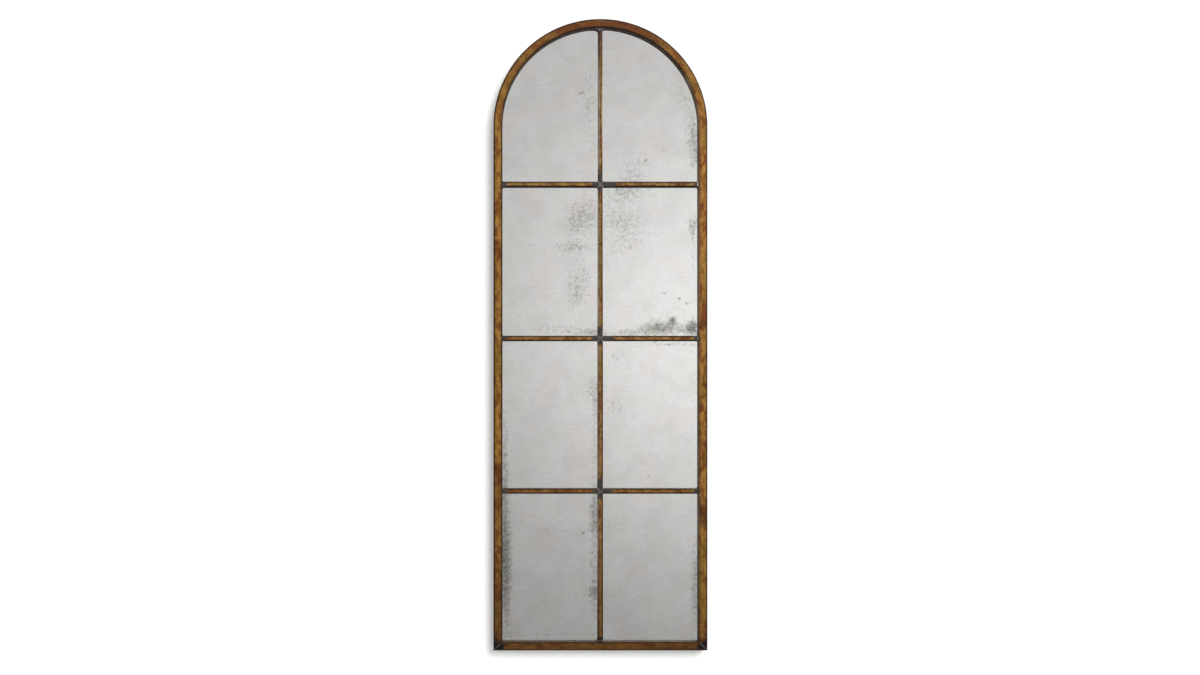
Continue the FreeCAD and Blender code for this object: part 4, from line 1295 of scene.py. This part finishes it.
@dataclass
class Glazing:
    """The one silvered sheet behind the bars, its backing board, the tape and the packers."""

    iron: Ironwork
    silvering: AntiquedSilvering = AntiquedSilvering("antiqued_silvering")
    glass_pitch: float = 8 * MM
    board_pitch: float = 30 * MM
    bends: int = 60
    top_half: float = 0.2 * MM
    crisp_degrees: float = 30.0
    clear_silver: float = -0.10
    # middles are in the row frame, in millimetres: +x to the right, z up from the hooks
    patches: tuple[Patch, ...] = tuple(Patch(*row) for row in (
        (245, -600, 100, 20, 0.56), (240, -571, 13, 13, 0.95), (185, -588, 52, 30, 0.50), (306, -590, 24, 30, 0.72),
        (90, -612, 80, 16, 0.46), (225, -650, 95, 10, 0.50), (262, -500, 7, 6, 0.8), (288, -515, 10, 7, 0.8),
        (212, -482, 9, 8, 0.75), (278, -541, 5, 5, 0.7), (146, -535, 5, 4, 0.8), (80, -150, 74, 44, 0.40),
        (75, -240, 78, 40, 0.40), (95, -320, 80, 66, 0.34), (-48, -205, 60, 64, 0.36), (-84, -262, 60, 56, 0.34),
        (-95, -330, 84, 20, 0.42), (-66, -425, 64, 68, 0.38), (-75, -500, 36, 48, 0.34),
        (-160, -600, 150, 22, 0.34), (-40, -612, 60, 14, 0.40), (305, -258, 16, 40, 0.62),
        (312, -360, 12, 110, 0.28), (316, 0, 22, 100, 0.50), (300, 70, 34, 110, 0.30), (268, 190, 34, 60, 0.36),
        (112, -75, 70, 66, 0.38), (-40, 200, 40, 120, 0.30), (-32, 30, 20, 140, 0.22), (-125, -55, 8, 8, 0.45),
        (-64, 182, 7, 3, 0.75), (38, 247, 4, 6, 0.75), (210, -12, 8, 4, 0.8), (152, -40, 5, 5, 0.8),
        (-315, -1050, 14, 260, 0.52), (-315, -1400, 26, 230, 0.86), (-18, -1000, 16, 300, 0.36),
        (-20, -1200, 20, 70, 0.42), (-20, -1440, 20, 170, 0.46), (315, -1450, 18, 170, 0.60),
        (312, -800, 12, 200, 0.25), (-160, -1612, 170, 10, 0.35), (-24, -800, 60, 50, 0.34),
        (60, -860, 60, 40, 0.32), (60, -690, 40, 20, 0.36), (-56, -1274, 5, 6, 0.8), (160, -1088, 5, 6, 0.75),
        (60, -1250, 60, 30, 0.28), (-130, -1265, 110, 22, 0.26), (-20, -1470, 190, 22, 0.28),
        (160, -1630, 190, 14, 0.24)))

    def build(self) -> None:
        """Build the sheet and the board, and dress the tape and packers."""
        for node, pitch, kind in (("mirror_glass", self.glass_pitch, self.silvering),
                                  ("backing_board", self.board_pitch, HARDBOARD)):
            sheet = self._arched_sheet(node, pitch)
            if kind is self.silvering:
                WORKSHOP.mark(sheet, "foxing", self._foxing)
            WORKSHOP.coat(sheet, kind)
            WORKSHOP.seat(sheet, node, self.crisp_degrees)
        for node, kind in (("glazing_tape", FOAM_TAPE), ("setting_blocks", PACKER_RUBBER)):
            WORKSHOP.coat(frame["nodes"][node], kind)

    def _foxing(self, place: Vector) -> float:
        """Add up the patches at a place on the sheet."""
        return self.clear_silver + sum(patch.at(place) for patch in self.patches)

    def _arched_sheet(self, node: str, pitch: float) -> Piece:
        """Build a closed arched sheet on an even grid, in the space of its CAD node.

        Args:
            node: The CAD node.
            pitch: Spacing of the grid.

        Returns:
            The sheet.
        """
        low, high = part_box(node)
        half, spring = high.x, self.iron.springline
        straight = round((spring - low.z) / pitch)
        rows = [(half, low.z + (spring - low.z) * index / straight) for index in range(straight)]
        rows += arc((0.0, spring), (half, high.z - spring), 0.0, QUARTER, self.bends)[:-1]
        rows.append((self.top_half, high.z))
        columns = round(2 * half / pitch)

        def build(shape: bmesh.types.BMesh) -> None:
            """Join the rows of both faces and close the rim."""
            front, rear = ([[shape.verts.new((reach * (2 * c / columns - 1), depth, z)) for c in range(columns + 1)]
                            for reach, z in rows] for depth in (low.y, high.y))
            for grid in (front, rear):
                for first, second in zip(grid, grid[1:]):
                    for c in range(columns):
                        shape.faces.new((first[c], first[c + 1], second[c + 1], second[c]))
            for r in range(len(rows) - 1):
                for c in (0, columns):
                    shape.faces.new((front[r][c], front[r + 1][c], rear[r + 1][c], rear[r][c]))
            for r in (0, len(rows) - 1):
                for c in range(columns):
                    shape.faces.new((front[r][c], front[r][c + 1], rear[r][c + 1], rear[r][c]))
        return WORKSHOP.mesh(f"{node}_sheet", build)


@dataclass
class ClipsAndScrews:
    """The offset clips that hold board and glass, each with its pan head screw."""

    iron: Ironwork
    half_width: float = 6 * MM
    thickness: float = 1.2 * MM
    # the clip's profile outwards from its screw, and its lip's reach and rise
    heel: float = 5 * MM
    bend: float = -7.5 * MM
    low_bend: float = -11.7 * MM
    nose: float = -21.7 * MM
    lip: Point = (0.6 * MM, 0.5 * MM)
    bend_gain: float = 0.55 * MM
    easing: float = 0.3 * MM
    rail_reach: float = 15 * MM
    head_radius: float = 3.6 * MM
    collar: float = 0.7 * MM
    shank_radius: float = 1.9 * MM
    # radius and length of the screw's point
    point: Point = (0.5 * MM, 2 * MM)
    recess: float = 1.2 * MM
    arm: float = 2.1 * MM
    slot: float = 0.42 * MM
    seed_number: int = 11

    def build(self) -> None:
        """Build clips and screws at the CAD node's own spots."""
        low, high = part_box("clip_screws")
        turner = random.Random(self.seed_number)
        self.seat_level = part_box("retaining_clips")[1].y
        WORKSHOP.fixings("retaining_clips_pressed", "retaining_clips", self._clip(), ZINC_PLATE, "clip_screws",
                         lambda spot: -self._outward(spot))
        WORKSHOP.fixings("clip_screws_turned", "clip_screws", self._screw(low.y, high.y), ZINC_PLATE,
                         "clip_screws", lambda spot: turner.uniform(0, math.tau))

    def _outward(self, spot: Vector) -> float:
        """Give the angle of a clip's outward side: up the arch, to a side on a leg, down on the rail."""
        if spot.z > self.iron.springline:
            return math.atan2(spot.z - self.iron.springline, spot.x)
        if spot.z < self.iron.base + self.rail_reach:
            return -QUARTER
        return 0.0 if spot.x > 0 else math.pi

    def _clip(self) -> Piece:
        """Make one clip about its screw, its outward side at +X.

        Returns:
            The clip.
        """
        foot, board = self.seat_level - self.thickness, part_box("backing_board")[1].y
        profile = [(self.heel, foot), (self.bend, foot), (self.low_bend, board), (self.nose, board),
                   (self.nose - self.lip[0], board + self.lip[1])]
        upper = [(x - (self.bend_gain if index in (1, 2) else 0.0), y + self.thickness)
                 for index, (x, y) in enumerate(profile)]
        half = self.half_width
        clip = WORKSHOP.prism("clip", [(x, y, -half) for x, y in profile + upper[::-1]], (0.0, 0.0, 2 * half))
        WORKSHOP.change(clip, "BEVEL", width=self.easing, segments=2)
        clip = WORKSHOP.bake(clip)
        WORKSHOP.soften(clip)
        return clip

    def _screw(self, tip: float, top: float) -> Piece:
        """Make one pan head screw with a cross recess.

        Args:
            tip: y of the shank's end.
            top: y of the head's top.

        Returns:
            The screw about the Y axis.
        """
        seat, shank, arm, slot = self.seat_level, self.shank_radius, self.arm, self.slot
        brim = seat + self.collar
        screw = WORKSHOP.lathe("screw", [
            (0.0, tip), (self.point[0], tip), (shank, tip + self.point[1]), (shank, seat), (self.head_radius, seat),
            *arc((0.0, brim), (self.head_radius, top - brim), 0.0, QUARTER, 6)[:-1], (0.0, top)])
        cross = ((slot, slot), (slot, arm), (-slot, arm), (-slot, slot), (-arm, slot), (-arm, -slot),
                 (-slot, -slot), (-slot, -arm), (slot, -arm), (slot, -slot), (arm, -slot), (arm, slot))
        cutter = WORKSHOP.prism("cutter", [(x, top - self.recess, z) for x, z in cross],
                                (0.0, self.recess + 1 * MM, 0.0))
        WORKSHOP.change(screw, "BOOLEAN", object=cutter, solver="EXACT")
        screw = WORKSHOP.bake(screw)
        WORKSHOP.drop(cutter)
        WORKSHOP.soften(screw, 40.0)
        return screw


@dataclass
class Hangers:
    """On each side a welded tab, a riveted strap with a curled eye, and the ring that swings in it."""

    wire: float = 1.75 * MM
    half_bar: float = 13 * MM
    corner: float = 3.5 * MM
    side_length: float = 6 * MM
    easing_mm: float = 0.35
    crisp_degrees: float = 60.0
    head_radius: float = 3.3 * MM
    head_height: float = 1.6 * MM
    tail_radius: float = 3.0 * MM
    tail_height: float = 1.5 * MM
    shank_radius: float = 2.0 * MM

    def build(self) -> None:
        """Build both hangers and their rivets."""
        for side in Side:
            for part, kind in (("tab", LACQUERED_STEEL), ("strap", ZINC_PLATE)):
                node = f"{side.word}_hanger_{part}"
                piece = WORKSHOP.eased_copy(node, self.easing_mm)
                WORKSHOP.coat(piece, kind)
                WORKSHOP.seat(piece, node)
            self._ring(f"{side.word}_hanger_ring")
        low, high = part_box("hanger_rivets")
        WORKSHOP.fixings("hanger_rivets_headed", "hanger_rivets", self._rivet(low.y, high.y), ZINC_PLATE,
                         "hanger_rivets")

    def _ring(self, node: str) -> None:
        """Build the D ring of a CAD node along its bent path."""
        low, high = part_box(node)
        middle, top, depth = (low.x + high.x) / 2, high.z - self.wire, (low.y + high.y) / 2
        bow, low_bar, corner = self.half_bar + self.corner, top - self.corner, (self.corner, self.corner)
        sides = low_bar - self.side_length
        path = [(bow, sides),
                *arc((self.half_bar, low_bar), corner, 0.0, QUARTER, 6),
                *arc((-self.half_bar, low_bar), corner, QUARTER, math.pi, 6),
                *arc((0.0, sides), (bow, bow), math.pi, math.tau, 32)[:-1]]
        section = arc((0.0, depth), (self.wire, self.wire), 0.0, math.tau, 16)[:-1]
        ring = WORKSHOP.sweep(f"{node}_wire", [(x + middle, z) for x, z in path], section, self.wire, Worked(),
                              ZINC_PLATE, closed=True)
        WORKSHOP.seat(ring, node, self.crisp_degrees)

    def _rivet(self, tail: float, top: float) -> Piece:
        """Make one rivet: domed head towards the wall and a peened tail.

        Args:
            tail: y of the tail's end.
            top: y of the head's top.

        Returns:
            The rivet about the Y axis.
        """
        under, over = top - self.head_height, tail + self.tail_height
        return WORKSHOP.lathe("rivet", [
            (0.0, tail), *arc((0.0, over), (self.tail_radius, self.tail_height), -QUARTER, 0.0, 5)[1:],
            (self.shank_radius, over), (self.shank_radius, under),
            *arc((0.0, under), (self.head_radius, self.head_height), 0.0, QUARTER, 6)[:-1], (0.0, top)])


@dataclass
class WallBumpers:
    """Four tapered rubber feet that keep the mirror off the wall."""

    foot: float = 6.0 * MM
    rim: float = 0.6 * MM
    draft: float = 0.05 * MM
    tip: float = 5.2 * MM
    ease: float = 0.8 * MM
    dimple: float = 2.2 * MM
    dimple_end: float = 1.8 * MM
    dimple_depth: float = 3 * MM

    def build(self) -> None:
        """Build the feet at the CAD node's own spots."""
        low, high = (corner.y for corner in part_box("wall_bumpers"))
        shoulder = high - self.ease
        seed = WORKSHOP.lathe("bumper", [
            (0.0, low), (self.foot, low), (self.foot, low + self.rim), (self.tip + self.draft, shoulder),
            *arc((self.tip - self.ease, shoulder), (self.ease, self.ease), 0.0, QUARTER, 5)[1:],
            (self.dimple, high), (self.dimple_end, high - self.dimple_depth), (0.0, high - self.dimple_depth)], 32)
        WORKSHOP.fixings("wall_bumpers_moulded", "wall_bumpers", seed, BUMPER_RUBBER, "wall_bumpers")


@dataclass
class Studio:
    """White wall and floor, one large soft light high on the right, a pale room, and the camera."""

    wall_gap: float = 0.2 * MM
    reach: float = 9.0
    floor_drop: float = 0.62
    camera_place: Place = (-0.330, -3.764, -0.777)
    lens: float = 33.9
    shift: Point = (0.083, 0.0377)
    light_from: Place = (0.66, -1.0, 0.80)
    light_width: float = 40.0
    light_strength: float = 2.62
    fill_from: Place = (0.5, 0.8, 0.4)
    fill_width: float = 70.0
    fill_strength: float = 1.7
    ambient: float = 0.47
    blue: float = 0.985
    glow_from: Place = (0.206, -0.98, 0.047)
    glow_width: float = 0.2
    glow_strength: float = 0.55
    horizon: float = 0.3
    room: Point = (0.31, 0.53)

    def build(self) -> None:
        """Build the stage, the lights and the camera."""
        paint = WORKSHOP.finish(WallPaint("white_wall_paint"))
        base = CAD_BOX[0].z - self.floor_drop
        wide, rear = self.reach, self.wall_gap
        self._board("wall", [(-wide, rear, base), (wide, rear, base), (wide, rear, wide), (-wide, rear, wide)], paint)
        self._board("floor", [(-wide, rear, base), (-wide, -wide, base), (wide, -wide, base), (wide, rear, base)],
                    paint)
        self._world()
        self._sun("softbox", self.light_from, self.light_width, self.light_strength)
        self._sun("rear_fill", self.fill_from, self.fill_width, self.fill_strength)
        self._camera()
        bpy.context.scene.view_settings.view_transform = "Standard"

    def _board(self, name: str, corners: list[Place], paint: bpy.types.Material) -> None:
        """Make one board of the stage, seen by the camera alone.

        Args:
            name: The board's name.
            corners: Its four corners, counter-clockwise as seen from the room.
            paint: Its material.
        """
        data = bpy.data.meshes.new(name)
        data.from_pydata(corners, [], [tuple(range(len(corners)))])
        data.materials.append(paint)
        board = WORKSHOP.put(name, data)
        for ray in ("diffuse", "glossy", "transmission", "shadow"):
            setattr(board, f"visible_{ray}", False)

    def _world(self) -> None:
        """Make the pale room: white to the camera, even to matt surfaces, and a soft glow to the mirror."""
        world = bpy.data.worlds.new("pale_room")
        bpy.context.scene.world = world
        world.use_nodes = True
        tree = world.node_tree
        tree.nodes.clear()
        bearing = add(tree, "ShaderNodeTexCoord").outputs["Generated"]
        height = add(tree, "ShaderNodeSeparateXYZ", {0: bearing}).outputs["Z"]
        plain = add(tree, "ShaderNodeMapRange", {
            "Value": height, "From Min": -self.horizon, "From Max": self.horizon,
            "To Min": self.room[0], "To Max": self.room[1]})
        # the glow is the lit end of the room, a little to the right of the camera and level with it
        centred = add(tree, "ShaderNodeVectorMath", {0: bearing, 1: self.glow_from}, operation="SUBTRACT")
        far = add(tree, "ShaderNodeVectorMath", {0: centred, 1: centred}, operation="DOT_PRODUCT")
        fall = add(tree, "ShaderNodeMath", {0: far, 1: -1 / self.glow_width ** 2}, operation="MULTIPLY")
        bright = add(tree, "ShaderNodeMath", {0: fall}, operation="EXPONENT")
        glow = add(tree, "ShaderNodeMath", {0: bright, 1: self.glow_strength, 2: plain}, operation="MULTIPLY_ADD")
        warm = add(tree, "ShaderNodeCombineXYZ", {"X": 1.0, "Y": 0.998, "Z": self.blue})
        graded = add(tree, "ShaderNodeVectorMath", {0: warm, "Scale": glow}, operation="SCALE")
        path = add(tree, "ShaderNodeLightPath")
        seen: object = (self.ambient, self.ambient, self.ambient * self.blue, 1.0)
        for ray, light in (("Is Glossy Ray", graded), ("Is Camera Ray", (1.0, 1.0, 1.0, 1.0))):
            seen = add(tree, "ShaderNodeMix", {0: path.outputs[ray], 6: seen, 7: light}, data_type="RGBA")
        add(tree, "ShaderNodeOutputWorld", {"Surface": add(tree, "ShaderNodeBackground", {"Color": seen})})

    def _sun(self, name: str, source: Place, width: float, strength: float) -> None:
        """Hang one wide soft light.

        Args:
            name: The light's name.
            source: Direction that the light comes from.
            width: Its angular width in degrees.
            strength: Its strength.
        """
        data = bpy.data.lights.new(name, "SUN")
        data.angle = math.radians(width)
        data.energy = strength
        lamp = WORKSHOP.put(name, data)
        lamp.rotation_mode = "QUATERNION"
        lamp.rotation_quaternion = (-Vector(source)).to_track_quat("-Z", "Y")

    def _camera(self) -> None:
        """Stand the camera square to the mirror, a little to the left of its middle."""
        data = bpy.data.cameras.new("camera")
        data.sensor_width = 36.0
        data.lens = self.lens
        data.shift_x, data.shift_y = self.shift
        data.clip_end = 100.0
        camera = WORKSHOP.put("camera", data)
        camera.location = self.camera_place
        camera.rotation_euler = (QUARTER, 0.0, 0.0)
        bpy.context.scene.camera = camera


WORKSHOP = Workshop()


def main() -> None:
    """Build the mirror in order: ironwork, glazing, fittings, then the studio."""
    logging.basicConfig(level=logging.INFO, format="%(name)s: %(message)s")
    iron = Ironwork()
    for assembly in (FrameTubes(iron), WindowBars(iron), Welds(iron), Glazing(iron), ClipsAndScrews(iron),
                     Hangers(), WallBumpers(), Studio()):
        assembly.build()
        LOG.info("%s built", type(assembly).__name__)


if __name__ == "__main__":
    main()
